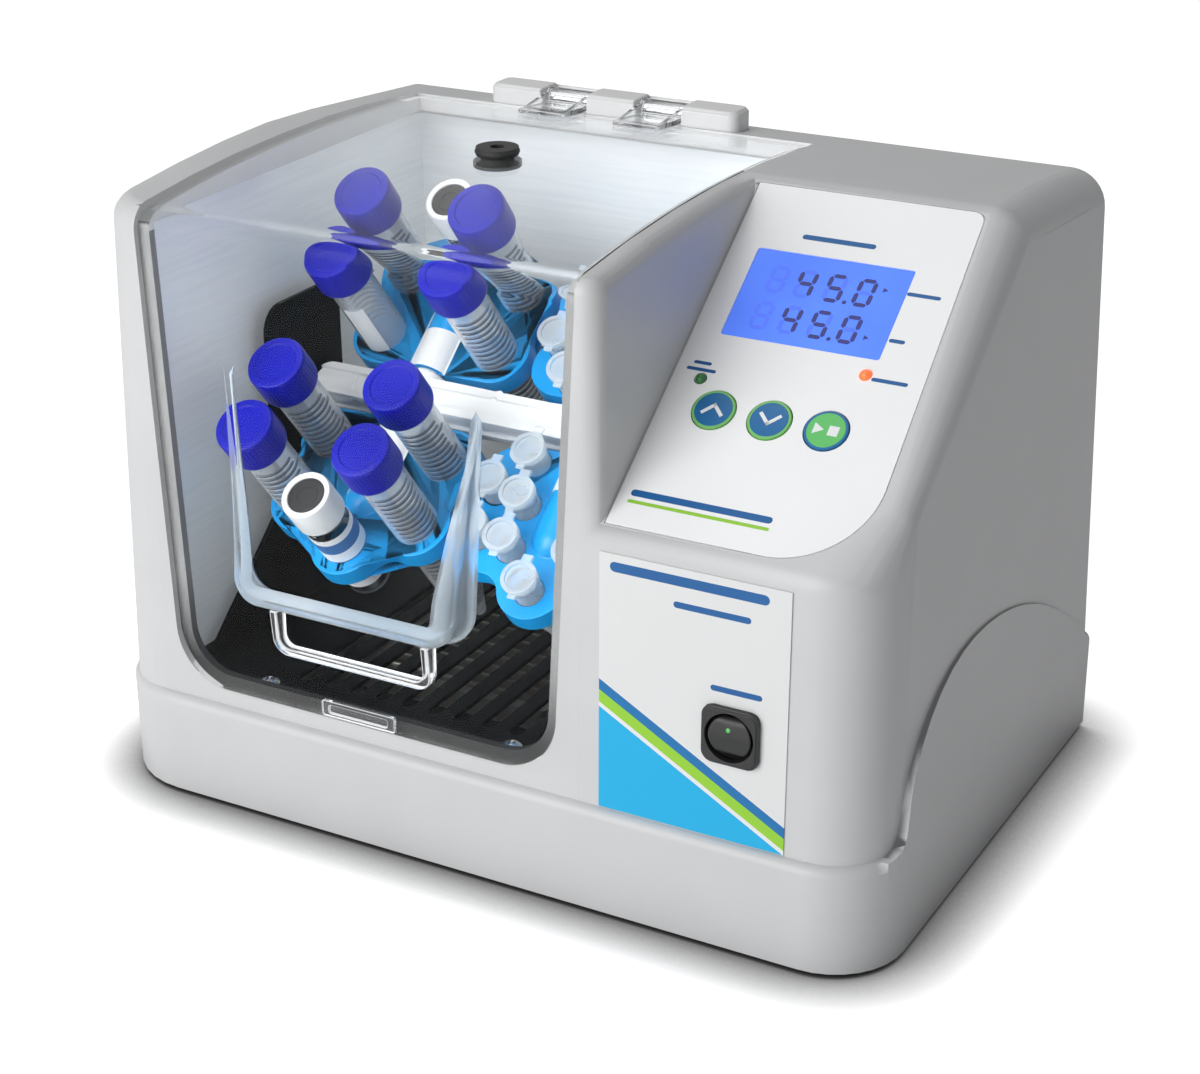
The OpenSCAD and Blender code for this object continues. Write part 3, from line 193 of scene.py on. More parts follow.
# %% World and lamps
ROOM_LIGHT = 0.19
world = bpy.data.worlds.new("studio")
world.use_nodes = True
scene.world = world
tree = world.node_tree
tree.nodes.clear()
shown = add(tree, "Background", Color=(1, 1, 1, 1), Strength=1.0)
light = add(tree, "Background", Color=(0.97, 0.98, 1, 1), Strength=ROOM_LIGHT)
which = add(tree, "MixShader")
output = add(tree, "OutputWorld")
tree.links.new(seen_directly(tree), which.inputs[0])
link(tree, light, 0, which, 1)
link(tree, shown, 0, which, 2)
link(tree, which, 0, output, 0)
lamp("key_lamp", (-0.45, -1.32, 0.66), (-0.02, 0, 0.1), 1.4, 18)
lamp("top_lamp", (-0.3, 0.1, 1.5), (0, 0, 0.1), 1.0, 3.6)
print("world and two lamps")

# %% Floor
SHADOW_REACH, SHADOW_DEPTH = 0.028, 2.8
PAPER_WHITE, PAPER_GLOW = 0.9, 0.8
bm = bmesh.new()
bmesh.ops.create_grid(bm, x_segments=2, y_segments=2, size=6)
floor_mesh = bpy.data.meshes.new("floor")
bm.to_mesh(floor_mesh)
bm.free()
floor = bpy.data.objects.new("floor", floor_mesh)
scene.collection.objects.link(floor)
paper = bpy.data.materials.new("paper")
paper.use_nodes = True
tree = paper.node_tree
surface = tree.nodes["Principled BSDF"]
surface.inputs["Roughness"].default_value = 0.9
near = add(tree, "AmbientOcclusion", samples=8, Distance=SHADOW_REACH)
openness = combined(tree, "POWER", near.outputs["AO"], SHADOW_DEPTH)
tree.links.new(combined(tree, "MULTIPLY", openness, PAPER_WHITE), surface.inputs["Base Color"])
glow = add(tree, "Emission")
tree.links.new(combined(tree, "MULTIPLY", openness, PAPER_GLOW), glow.inputs["Strength"])
nothing = add(tree, "Emission", Strength=0.0)
chosen = add(tree, "MixShader")
total = add(tree, "AddShader")
tree.links.new(seen_directly(tree), chosen.inputs[0])
link(tree, nothing, 0, chosen, 1)
link(tree, glow, 0, chosen, 2)
link(tree, surface, 0, total, 0)
link(tree, chosen, 0, total, 1)
link(tree, total, 0, tree.nodes["Material Output"], "Surface")
floor_mesh.materials.append(paper)
print("floor and backdrop")

# %% [markdown]
# ## Finishes
# Moulded plastic is never one flat colour: fine grain breaks up its gloss, and broad patches vary its tone
# by a percent or two. One helper makes that for every plastic and paint. Brushed sheet needs streaks, so it
# stretches its noise, and clear plastic needs light to pass, so it steps aside for shadow rays.


# %% Finish helpers
def new_finish(name):
    made = bpy.data.materials.new(name)
    made.use_nodes = True
    return made, made.node_tree, made.node_tree.nodes["Principled BSDF"]


def set_sockets(shader, sockets):
    for name, value in sockets.items():
        shader.inputs[name].default_value = value


def object_axes(tree):
    """The three Object coordinates, as sockets."""
    split = add(tree, "SeparateXYZ")
    link(tree, add(tree, "TexCoord"), "Object", split, 0)
    return split.outputs


def tinted(tree, shader, tone, factor, colour):
    """Mixes a colour into a finish where a factor is 1. Returns the mix."""
    mix = add(tree, "Mix", data_type="RGBA")
    tree.links.new(factor, mix.inputs[0])
    link(tree, tone, "Color", mix, 6)
    mix.inputs[7].default_value = colour
    link(tree, mix, 2, shader, "Base Color")
    return mix


def varied(tree, shader, low, high, rough, spread, grain, bump, stretch=(1, 1, 1)):
    """Colour, gloss and relief from two noises on Object coordinates."""
    coord = add(tree, "TexCoord")
    mapping = add(tree, "Mapping", Scale=stretch)
    link(tree, coord, "Object", mapping, "Vector")
    patches = add(tree, "TexNoise", Scale=22.0, Detail=4.0)
    link(tree, mapping, 0, patches, "Vector")
    fine = add(tree, "TexNoise", Scale=grain, Detail=3.0)
    link(tree, mapping, 0, fine, "Vector")
    tone = add(tree, "ValToRGB")
    tone.color_ramp.elements[0].position = 0.3
    tone.color_ramp.elements[0].color = (*low, 1)
    tone.color_ramp.elements[1].position = 0.7
    tone.color_ramp.elements[1].color = (*high, 1)
    link(tree, patches, "Fac", tone, "Fac")
    gloss = add(tree, "MapRange", To_Min=rough - spread, To_Max=rough + spread)
    link(tree, fine, "Fac", gloss, "Value")
    relief = add(tree, "Bump", Strength=bump, Distance=0.0002)
    link(tree, fine, "Fac", relief, "Height")
    link(tree, tone, "Color", shader, "Base Color")
    link(tree, gloss, 0, shader, "Roughness")
    link(tree, relief, 0, shader, "Normal")
    return tone


def moulded(name, low, high, rough, spread=0.05, grain=2600.0, bump=0.12, stretch=(1, 1, 1), **sockets):
    made, tree, shader = new_finish(name)
    set_sockets(shader, {k.replace("_", " "): v for k, v in sockets.items()})
    varied(tree, shader, low, high, rough, spread, grain, bump, stretch)
    return made


def pass_shadows(tree, shader, shade):
    """Lets lamp light through a clear surface, dimmed to the given shade."""
    path = add(tree, "LightPath")
    through = add(tree, "BsdfTransparent", Color=(shade, shade, shade, 1))
    choice = add(tree, "MixShader")
    link(tree, path, "Is Shadow Ray", choice, 0)
    link(tree, shader, 0, choice, 1)
    link(tree, through, 0, choice, 2)
    link(tree, choice, 0, tree.nodes["Material Output"], "Surface")
    return choice


def clear(name, low, high, rough, ior, shade=0.93, grain=60.0, **sockets):
    made, tree, shader = new_finish(name)
    set_sockets(shader, {"Transmission Weight": 1.0, "IOR": ior})
    set_sockets(shader, {k.replace("_", " "): v for k, v in sockets.items()})
    varied(tree, shader, low, high, rough, rough * 0.5, grain, 0.01)
    pass_shadows(tree, shader, shade)
    return made


# %% Finishes of the housing and the chamber
shell_grey = moulded("shell_grey", (0.60, 0.605, 0.61), (0.635, 0.64, 0.645), 0.42, grain=3200.0, bump=0.1)
hinge_white = moulded("hinge_white", (0.8, 0.8, 0.8), (0.86, 0.86, 0.86), 0.3)
# The steel's faint bluish emission is a painted glow that brightens the chamber walls
steel_painted_glow = moulded(
    "brushed_stainless_painted_glow", (0.83, 0.85, 0.86), (0.91, 0.93, 0.94), 0.34, 0.1, 90.0, 0.06, (1, 1, 30),
    Metallic=0.15, Emission_Color=(0.9, 0.96, 1, 1), Emission_Strength=0.08,
)
zinc_grey = moulded("zinc_grey", (0.42, 0.43, 0.44), (0.55, 0.56, 0.57), 0.45, Metallic=0.9)
bright_steel = moulded("bright_steel", (0.55, 0.55, 0.56), (0.66, 0.66, 0.67), 0.2, Metallic=1.0)
gloss_black = moulded(
    "gloss_black", (0.002, 0.003, 0.004), (0.004, 0.005, 0.006), 0.3, 0.08, 900.0, 0.06,
    Specular_IOR_Level=0.05,
)
matt_black = moulded("matt_black", (0.012, 0.012, 0.013), (0.022, 0.022, 0.024), 0.5)
rubber_black = moulded("rubber_black", (0.01, 0.01, 0.01), (0.02, 0.02, 0.02), 0.62, bump=0.25)
fin_metal = moulded("fin_metal", (0.4, 0.38, 0.35), (0.52, 0.5, 0.46), 0.4, Metallic=1.0)
bronze = moulded("bronze", (0.45, 0.3, 0.12), (0.55, 0.38, 0.17), 0.32, Metallic=1.0)
board_green = moulded("board_green", (0.01, 0.09, 0.04), (0.02, 0.13, 0.06), 0.35)
print("housing and chamber finishes made")

# %% [markdown]
# ### Painted shade behind the lid
# The seat of the lid is painted dark as shade. The shade is painted black along the chamber's floor and
# lighter higher up, as painted light from the steel walls, so its grey is multiplied by a ramp over the
# height.

# %% Finish of the seat: painted shade
seat_painted_shade, tree, shader = new_finish("seat_painted_shade")
tone = varied(tree, shader, (0.5, 0.5, 0.5), (0.6, 0.6, 0.6), 0.6, 0.05, 2600.0, 0.12)
# Painted shade: darker towards the bottom, lighter higher up where the steel walls would light it
rise = add(tree, "MapRange", From_Min=0.055, From_Max=0.085, To_Min=0.02, To_Max=0.4)
tree.links.new(object_axes(tree)[2], rise.inputs[0])
shade = add(tree, "Mix", data_type="RGBA", blend_type="MULTIPLY")
shade.inputs[0].default_value = 1
link(tree, tone, "Color", shade, 6)
link(tree, rise, 0, shade, 7)
link(tree, shade, 2, shader, "Base Color")
print("seat shade finish made")

# %% [markdown]
# ### Clear and coloured plastics
# Clear plastic is a transmitting shader with a low index, which keeps the thick-walled lid from bending the
# view too much. Edges of such sheet scatter light, so they get finishes that transmit less.

# %% Finishes of the lid, the rotor and its tubes
lid_clear = clear("lid_clear", (0.97, 0.985, 0.99), (0.99, 1, 1), 0.015, 1.12, 0.95)
rim_clear = clear("rim_clear", (0.93, 0.96, 0.97), (0.98, 0.99, 1), 0.06, 1.4, 0.9)
frosted = clear(
    "frosted", (0.66, 0.76, 0.84), (0.86, 0.92, 0.96), 0.2, 1.25, 0.85, Transmission_Weight=0.72
)
edge_bright = clear(
    "edge_bright", (0.93, 0.95, 0.96), (1, 1, 1), 0.12, 1.35, 0.9, Transmission_Weight=0.35
)
tube_clear = clear("tube_clear", (0.93, 0.96, 0.98), (0.98, 0.99, 1), 0.12, 1.22, 0.85)
milky = clear("milky", (0.86, 0.92, 0.95), (0.93, 0.97, 1), 0.3, 1.25, 0.75, Transmission_Weight=0.75)
beam_white = moulded("beam_white", (0.8, 0.81, 0.81), (0.86, 0.87, 0.87), 0.34)
holder_blue = moulded("holder_blue", (0.0, 0.29, 0.7), (0.004, 0.36, 0.82), 0.3, bump=0.08)
cap_blue = moulded(
    "cap_blue", (0.002, 0.004, 0.26), (0.006, 0.008, 0.38), 0.36, bump=0.08, Specular_IOR_Level=0.25
)
print("lid and rotor finishes made")

# %% [markdown]
# ## Carrying the CAD shapes over
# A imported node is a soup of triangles, lit flat. A merged copy takes smooth normals: edges steeper than a
# limit stay sharp, and a Weighted Normal modifier keeps broad flat faces flat beside small rounds. Where a
# moulded edge would catch light, its copy gets a small bevel first.


# %% Piece helpers
def add_piece(bm, name, body, finish, replaces=(), angle=32):
    """Makes an object of a modelled shape. A list of finishes goes by the faces' material numbers."""
    mesh = bpy.data.meshes.new(name)
    bm.to_mesh(mesh)
    bm.free()
    for each in finish if isinstance(finish, list) else [finish]:
        mesh.materials.append(each)
    mesh.shade_smooth()
    mesh.set_sharp_from_angle(angle=math.radians(angle))
    obj = bpy.data.objects.new(name, mesh)
    scene.collection.objects.link(obj)
    normals = obj.modifiers.new("normals", "WEIGHTED_NORMAL")
    normals.mode = "FACE_AREA_WITH_ANGLE"
    normals.keep_sharp = True
    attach(obj, body)
    if replaces:
        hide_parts(*replaces)
    print(f"{name}: {len(mesh.polygons)} faces on {body}")
    return obj


def merged(node):
    bm = bmesh.new()
    bm.from_mesh(nodes[node].data)
    bmesh.ops.remove_doubles(bm, verts=bm.verts, dist=2e-6)
    return bm


def verts_in(geom):
    return [g for g in geom if isinstance(g, bmesh.types.BMVert)]


def edges_in(geom):
    return [g for g in geom if isinstance(g, bmesh.types.BMEdge)]


def faces_in(geom):
    return [g for g in geom if isinstance(g, bmesh.types.BMFace)]


def steep_edges(bm, degrees):
    return [e for e in bm.edges if e.is_manifold and e.calc_face_angle(0) > math.radians(degrees)]


def flatten(bm):
    """Joins flat triangles of one finish into faces."""
    bmesh.ops.dissolve_limit(
        bm, angle_limit=math.radians(0.6), verts=bm.verts, edges=bm.edges, delimit={"MATERIAL"},
    )


def soften(bm, width):
    """Joins flat triangles and bevels the steep edges. Returns the bevels' faces."""
    flatten(bm)
    made = bmesh.ops.bevel(
        bm, geom=steep_edges(bm, 50), offset=width * MM, offset_type="OFFSET", segments=2, profile=0.5,
        affect="EDGES", material=-1, clamp_overlap=False, loop_slide=True,
    )
    return made["faces"]


def dress(node, finish, bevel=0.0, angle=32):
    """A merged copy of a CAD node. With two finishes the second is for its bevels."""
    bm = merged(node)
    rims = soften(bm, bevel) if bevel else []
    for f in rims if isinstance(finish, list) else []:
        f.material_index = 1
    return add_piece(bm, node + "_dressed", nodes[node]["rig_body"], finish, [node], angle)


# %% Housing
SEAT_DEPTH, SEAT_HALF, SEAT_Z = (3, 9), 84.5, (42, 212)


def on_seat(face):
    """True for the faces behind the front edge of the lid, which are painted dark as shade."""
    spot = face.calc_center_median() / MM
    depth = spot.y - FRONT_Y - face_y(spot.z)
    beside = abs(spot.x - CHAMBER_X) < SEAT_HALF
    return beside and SEAT_DEPTH[0] < depth < SEAT_DEPTH[1] and SEAT_Z[0] < spot.z < SEAT_Z[1]


bm = merged("housing")
flatten(bm)
# The seat's faces take the second finish, a painted shade
seat_faces = [f for f in bm.faces if on_seat(f)]
for f in seat_faces:
    f.material_index = 1
add_piece(bm, "housing_dressed", "cabinet", [shell_grey, seat_painted_shade], ["housing"], 28)
print(len(seat_faces), "faces with painted seat shade")

# %% Other pieces that keep their CAD shape
for node, finish, bevel in [
    ("base_plate", zinc_grey, 0.0), ("feet", rubber_black, 0.3), ("base_screws", bright_steel, 0.0),
    ("chamber_liner", steel_painted_glow, 0.0), ("floor_grille", gloss_black, 0.3),
    ("heater_element", fin_metal, 0.0), ("fan_frame", matt_black, 0.0), ("fan_impeller", matt_black, 0.0),
    ("idler_bracket", gloss_black, 0.25), ("idler_pin", bright_steel, 0.0), ("drive_bush", bronze, 0.0),
    ("gear_motor", zinc_grey, 0.0), ("motor_bracket", zinc_grey, 0.0), ("hinge_block", hinge_white, 0.7),
    ("hinge_pins", bright_steel, 0.0), ("control_board", board_green, 0.0), ("board_standoffs", bronze, 0.0),
    ("key_switches", matt_black, 0.0), ("lcd_module", matt_black, 0.0), ("power_supply", board_green, 0.0),
    ("power_inlet", matt_black, 0.3), ("temperature_probe", bright_steel, 0.0),
    ("switch_bezel", matt_black, 0.35),
]:
    dress(node, finish, bevel)

# %% [markdown]
# ## Clear lid
# The lid is one clear sheet: a front panel with round lower corners, a fold, a crowned top and a bulge like
# a wedge that leaves the rotor room to turn. It could be a copy of the CAD node, but its rounds would be
# faceted in gloss. So it is laid out as two loops of vertices, bridged into a panel. The bulge grows from the
# inner loop by extruding it ring by ring, spin folds the top edge over, and solidify gives it thickness.

# %% Outlines of the lid and of its bulge
SIDE_STEPS, ARC_STEPS, FOOT_STEPS, TOP_STEPS = 22, 24, 8, 20
FOLD_R = 9.0
FOLD_Y = face_y(ROOF_Z) + FOLD_R
FOLD_Z = roof_z(FOLD_Y) - FOLD_R
LID_FOOT, LID_REAR_Y, LID_T = 46.0, 181.5, 3.0
LID_HALF, LID_CORNER, LID_TAPER = 84, 21, 8
TILT = math.atan(LID_TAPER / (FOLD_Z - LID_FOOT))
BULGE_FOOT, BULGE_TOP, BULGE_DEPTH = 85.0, 168.0, 13.0
BULGE_HALF, BULGE_CORNER = 50, 13
BULGE_FOOT_R, BULGE_RIM_R = 2.0, 5.0


def lid_y(z):
    low, high = face_y(LID_FOOT), FOLD_Y - FOLD_R
    return low + (high - low) * (z - LID_FOOT) / (FOLD_Z - LID_FOOT)


def outline(half_top, top, foot, radius):
    """Points (x, z, inward x, inward z) round a panel with leaning sides and round lower corners."""
    corner_z = foot + radius
    corner_x = half_top - (top - corner_z) * math.tan(TILT) - radius / math.cos(TILT)
    side_x, side_z = corner_x + radius * math.cos(TILT), corner_z - radius * math.sin(TILT)
    half = []
    for k in range(SIDE_STEPS):
        t = k / SIDE_STEPS
        x, z = half_top + (side_x - half_top) * t, top + (side_z - top) * t
        half.append((x, z, -math.cos(TILT), math.sin(TILT)))
    for k in range(ARC_STEPS):
        a = -TILT - (math.pi / 2 - TILT) * k / ARC_STEPS
        x, z = corner_x + radius * math.cos(a), corner_z + radius * math.sin(a)
        half.append((x, z, -math.cos(a), -math.sin(a)))
    for k in range(FOOT_STEPS):
        half.append((corner_x * (1 - k / FOOT_STEPS), foot, 0, 1))
    left = [(-x, z, -nx, nz) for x, z, nx, nz in half]
    top_row = [(half_top * (2 * k / TOP_STEPS - 1), top, 0, 0) for k in range(1, TOP_STEPS)]
    return half + [(0, foot, 0, 1)] + left[::-1] + top_row


# %% Sheet of the lid
CLEAR, FROSTED, BRIGHT = range(3)
lid_loop = outline(LID_HALF, FOLD_Z, LID_FOOT, LID_CORNER)
bulge_loop = outline(BULGE_HALF, BULGE_TOP, BULGE_FOOT, BULGE_CORNER)
bm = bmesh.new()
place = bm.verts.layers.int.new("place")


def loop_of(points):
    verts = [bm.verts.new((x, lid_y(z), z)) for x, z, _, _ in points]
    for k, v in enumerate(verts):
        v[place] = k
    return [bm.edges.new((v, verts[(k + 1) % len(verts)])) for k, v in enumerate(verts)]


outer_edges = loop_of(lid_loop)
ring = loop_of(bulge_loop)
bmesh.ops.bridge_loops(bm, edges=outer_edges + ring)
print("panel round the bulge:", len(bm.faces), "faces")


# %% Rings of the bulge
def bulge_depth(z):
    """How far the wedge stands out at a height."""
    return max(0.0, BULGE_DEPTH * (BULGE_TOP - z) / (BULGE_TOP - BULGE_FOOT))


def bulge_point(k, share):
    """Place of outline point k on ring number share of the bulge's rounded wall."""
    x, z, nx, nz = bulge_loop[k]
    depth = bulge_depth(z)
    foot_r, rim_r = min(BULGE_FOOT_R, 0.3 * depth), min(BULGE_RIM_R, 0.5 * depth)
    if share <= 1:
        a = share * math.pi / 2
        inset, out = foot_r * math.sin(a), foot_r * (1 - math.cos(a))
    else:
        a = min(1, share - 2) * math.pi / 2
        inset, out = foot_r + rim_r * (1 - math.cos(a)), depth - rim_r + rim_r * math.sin(a)
    inset += max(0, share - 3) * min(3.0, 0.3 * depth)
    x, z = x + nx * inset, z + nz * inset
    return Vector((x, lid_y(z) - bulge_depth(z) * (out / depth if depth else 0), z))


for share in (0.33, 0.67, 1, 2, 2.2, 2.4, 2.6, 2.8, 3, 4):
    grown = bmesh.ops.extrude_edge_only(bm, edges=ring)["geom"]
    for v in verts_in(grown):
        v.co = bulge_point(v[place], share)
    for f in faces_in(grown):
        f.material_index = FROSTED
    ring = [e for e in edges_in(grown) if len(e.link_faces) == 1 and all(v in grown for v in e.verts)]
for f in bmesh.ops.contextual_create(bm, geom=ring)["faces"]:
    f.material_index = CLEAR
print("bulge rings done:", len(bm.faces), "faces")

# %% Fold and top of the lid
top_edges = [e for e in outer_edges if all(abs(v.co.z - FOLD_Z) < 1e-4 for v in e.verts)]
spun = bmesh.ops.spin(
    bm, geom=top_edges + list({v for e in top_edges for v in e.verts}), cent=(0, FOLD_Y, FOLD_Z),
    axis=(1, 0, 0), angle=-math.pi / 2, steps=10,
)["geom_last"]
edge_row = edges_in(spun)
CROWN_STEPS = 20
for k in range(1, CROWN_STEPS + 1):
    y = FOLD_Y + (LID_REAR_Y - FOLD_Y) * k / CROWN_STEPS
    grown = bmesh.ops.extrude_edge_only(bm, edges=edge_row)["geom"]
    for v in verts_in(grown):
        v.co.y, v.co.z = y, roof_z(y)
    edge_row = [
        e for e in edges_in(grown) if len(e.link_faces) == 1 and all(abs(v.co.y - y) < 1e-4 for v in e.verts)
    ]
bmesh.ops.remove_doubles(bm, verts=bm.verts, dist=0.02)
bmesh.ops.recalc_face_normals(bm, faces=bm.faces)
if sum(f.normal.z for f in bm.faces) < 0:
    bmesh.ops.reverse_faces(bm, faces=bm.faces)
bmesh.ops.solidify(bm, geom=bm.faces, thickness=LID_T)
made = bmesh.ops.bevel(
    bm, geom=steep_edges(bm, 60), offset=0.45, offset_type="OFFSET", segments=2, profile=0.5,
    affect="EDGES", material=-1, clamp_overlap=True,
)
for f in made["faces"]:
    f.material_index = BRIGHT
bmesh.ops.transform(bm, matrix=BENCH @ Matrix.Translation((CHAMBER_X, 0, 0)), verts=bm.verts)
add_piece(bm, "lid_sheet", "lid", [lid_clear, frosted, edge_bright], ["lid_panel"], 40)

# %% Small pieces on the lid
dress("lid_pull", [rim_clear, edge_bright], 0.6)
dress("lid_tab", [rim_clear, edge_bright], 0.3)
dress("hinge_knuckles", [rim_clear, edge_bright], 0.35)
dress("port_grommet", rubber_black)

# %% [markdown]
# ## Rotor
# A white beam carries four blue holders on posts. The holders, beam and micro tubes keep their CAD shapes
# with soft edges. Near the beam the boss of a holder shows the white post: a plane cuts the boss across, and
# the faces on the beam's side get the white finish, which needs no second shape.

# %% Beam and holders
dress("rotor_beam", beam_white, 0.5)
dress("drive_shaft", bright_steel)
TUBE_X, MICRO_X = -70.5, 6.5
BOSS_R, BOSS_S = 8.5, 27.0


def holder(node, x, side):
    """A blue holder whose raised boss is white from the beam out to BOSS_S."""
    bm = merged(node)
    flat = ROTOR.inverted()

    def on_boss(spot):
        return abs(math.hypot(spot.x - x, spot.z) - BOSS_R) < 0.4

    boss = [f for f in bm.faces if all(on_boss(flat @ v.co) for v in f.verts)]
    cut = boss + list({e for f in boss for e in f.edges}) + list({v for f in boss for v in f.verts})
    axis = ROTOR.to_3x3() @ Vector((0, 1, 0))
    bmesh.ops.bisect_plane(bm, geom=cut, plane_co=ROTOR @ Vector((x, side * BOSS_S, 0)), plane_no=axis)
    for f in bm.faces:
        spot = flat @ f.calc_center_median()
        f.material_index = int(on_boss(spot) and abs(spot.y) < BOSS_S)
    soften(bm, 0.45)
    add_piece(bm, node + "_dressed", "rotor", [holder_blue, beam_white], [node])


holder("tube_holder_front", TUBE_X, -1)
holder("tube_holder_rear", TUBE_X, 1)
holder("micro_holder_front", MICRO_X, -1)
holder("micro_holder_rear", MICRO_X, 1)
dress("micro_tubes", milky)
dress("micro_caps", milky, 0.25)

# %% [markdown]
# ## Caps, tubes and vials
# Caps and tubes are round, so each is a profile spun round its axis by spin with use_merge. One shape is made
# and copied to each hole of the holders. The skirt of a cap is then pushed in and out into grip ribs.


# %% Lathe helpers
def lathe(profile, steps):
    """A closed body of revolution from (radius, height) points."""
    bm = bmesh.new()
    verts = [bm.verts.new((r, 0, z)) for r, z in profile]
    edges = [bm.edges.new(pair) for pair in zip(verts, verts[1:])]
    bmesh.ops.spin(bm, geom=verts + edges, cent=(0, 0, 0), axis=(0, 0, 1), angle=2 * math.pi, steps=steps,
                   use_merge=True)
    bmesh.ops.remove_doubles(bm, verts=bm.verts, dist=1e-3)
    bmesh.ops.recalc_face_normals(bm, faces=bm.faces)
    return bm


def repeat(bm, places):
    """Copies of a modelled shape at each place, in place of the first."""
    first = bm.verts[:] + bm.edges[:] + bm.faces[:]
    for matrix in places[1:]:
        copied = bmesh.ops.duplicate(bm, geom=first)["geom"]
        bmesh.ops.transform(bm, matrix=matrix, verts=verts_in(copied))
    bmesh.ops.transform(bm, matrix=places[0], verts=verts_in(first))


def raised(profile, height):
    return [(r, z + height) for r, z in profile]


# Turns of the tubes in degrees, front to rear in the left row and then in the right row
tube_turns = [0, 5, 165, -12, 12, -8, 6, -3]
tube_spots = [(x, s) for x in (-24, 24) for s in (-49.5, -23.5, 23.5, 49.5)]
tube_places = [
    ROTOR @ Matrix.Translation((TUBE_X + x, s, 0)) @ Matrix.Rotation(math.radians(turn), 4, "Z")
    for (x, s), turn in zip(tube_spots, tube_turns)
]
vial_places = [ROTOR @ Matrix.Translation((TUBE_X, s, 0)) for s in (-62.5, 62.5)]
print(len(tube_places), "tubes and", len(vial_places), "vials")

# %% Ribbed tube caps
CAP_TOP, CAP_R, RIBS = 55.0, 10.7, 44
RIB_DEPTH, RIB_CREST = 0.014, 0.6
bm = lathe(raised([
    (0, -0.5), (7.4, -0.5), (7.9, 0), (9.6, 0), (10.3, -0.3), (CAP_R, -1.2), (CAP_R, -2), (CAP_R, -12),
    (CAP_R, -12.6), (10.4, -13.5), (8.75, -13.5), (8.7, -1.7), (0, -1.7),
], CAP_TOP), RIBS * 4)
for v in bm.verts:
    if CAP_TOP - 12.1 < v.co.z < CAP_TOP - 1.9 and v.co.xy.length > 10.5:
        wave = math.cos(RIBS * math.atan2(v.co.y, v.co.x))
        v.co.xy *= 1 + RIB_DEPTH * max(-RIB_CREST, min(RIB_CREST, wave * 1.4))
repeat(bm, tube_places)
add_piece(bm, "ribbed_caps", "rotor", cap_blue, ["tube_caps"], 40)

# %% [markdown]
# ## Printed tubes
# Conical tubes carry printed volume lines. A map round each tube, angle across and height up, lets the
# material draw short and long lines on one side, and a white patch to write on.


# %% Print helpers
def map_round(bm):
    """A map of a lathed shape: its turn across, and its height in tenths of a metre up."""
    uv = bm.loops.layers.uv.new("print")
    for f in bm.faces:
        turns = [math.atan2(c.vert.co.y, c.vert.co.x) / (2 * math.pi) for c in f.loops]
        for c, turn in zip(f.loops, turns):
            if max(turns) - min(turns) > 0.5 and turn < 0:
                turn += 1
            c[uv].uv = (turn, c.vert.co.z / 100)


def print_axes(tree):
    """Turn and height on the map of map_round, as sockets."""
    axes = add(tree, "SeparateXYZ")
    link(tree, add(tree, "UVMap", uv_map="print"), 0, axes, 0)
    return axes.outputs[0], axes.outputs[1]


def ruled(tree, height, per_tenth, share):
    """1 on lines that lie so many to a tenth of a metre and fill a share of their spacing."""
    step = combined(tree, "FRACT", combined(tree, "MULTIPLY", height, per_tenth))
    return between(tree, step, 0.0, share)


# %% Conical tubes
bm = lathe([
    (0, -62), (1.7, -62), (2.4, -61.3), (8.3, -40.8), (8.5, -39.6), (8.5, 53.4), (7.5, 53.4), (7.5, -39.2),
    (1.8, -60.2), (0, -60.2),
], 40)
map_round(bm)
repeat(bm, tube_places)
print("tubes:", len(bm.faces), "faces")

# %% Print on the tubes
printed_tube, tree, shader = new_finish("printed_tube")
set_sockets(shader, {"Transmission Weight": 0.8, "IOR": 1.22})
varied(tree, shader, (0.9, 0.94, 0.97), (0.96, 0.98, 1), 0.14, 0.06, 60.0, 0.01)
lamp_safe = pass_shadows(tree, shader, 0.82)
ink = add(tree, "BsdfPrincipled", Roughness=0.5)
patch = add(tree, "BsdfPrincipled", Roughness=0.55)
set_sockets(ink, {"Base Color": (0.03, 0.04, 0.07, 1)})
set_sockets(patch, {"Base Color": (0.85, 0.86, 0.86, 1)})
turn, height = print_axes(tree)
zone = between(tree, height, -0.5, 0.36)
short_arc, long_arc = between(tree, turn, -0.28, 0.03), between(tree, turn, -0.28, 0.08)
short_lines = combined(tree, "MULTIPLY", ruled(tree, height, 36.0, 0.24), short_arc)
long_lines = combined(tree, "MULTIPLY", ruled(tree, height, 7.2, 0.055), long_arc)
lines = combined(tree, "MULTIPLY", combined(tree, "MAXIMUM", short_lines, long_lines), zone)
white = combined(tree, "MULTIPLY", between(tree, turn, 0.25, 0.4), between(tree, height, -0.16, 0.3))
with_patch = add(tree, "MixShader")
tree.links.new(white, with_patch.inputs[0])
link(tree, lamp_safe, 0, with_patch, 1)
link(tree, patch, 0, with_patch, 2)
with_ink = add(tree, "MixShader")
tree.links.new(lines, with_ink.inputs[0])
link(tree, with_patch, 0, with_ink, 1)
link(tree, ink, 0, with_ink, 2)
link(tree, with_ink, 0, tree.nodes["Material Output"], "Surface")
add_piece(bm, "printed_tubes", "rotor", printed_tube, ["conical_tubes"], 40)

# %% [markdown]
# ### Vials
# A vial is a short bottle with a paper wrap, an open white cap and a rubber plug in it. Four spun profiles
# share one axis, so each keeps its own finish. The wrap carries plain ruled lines and a band.

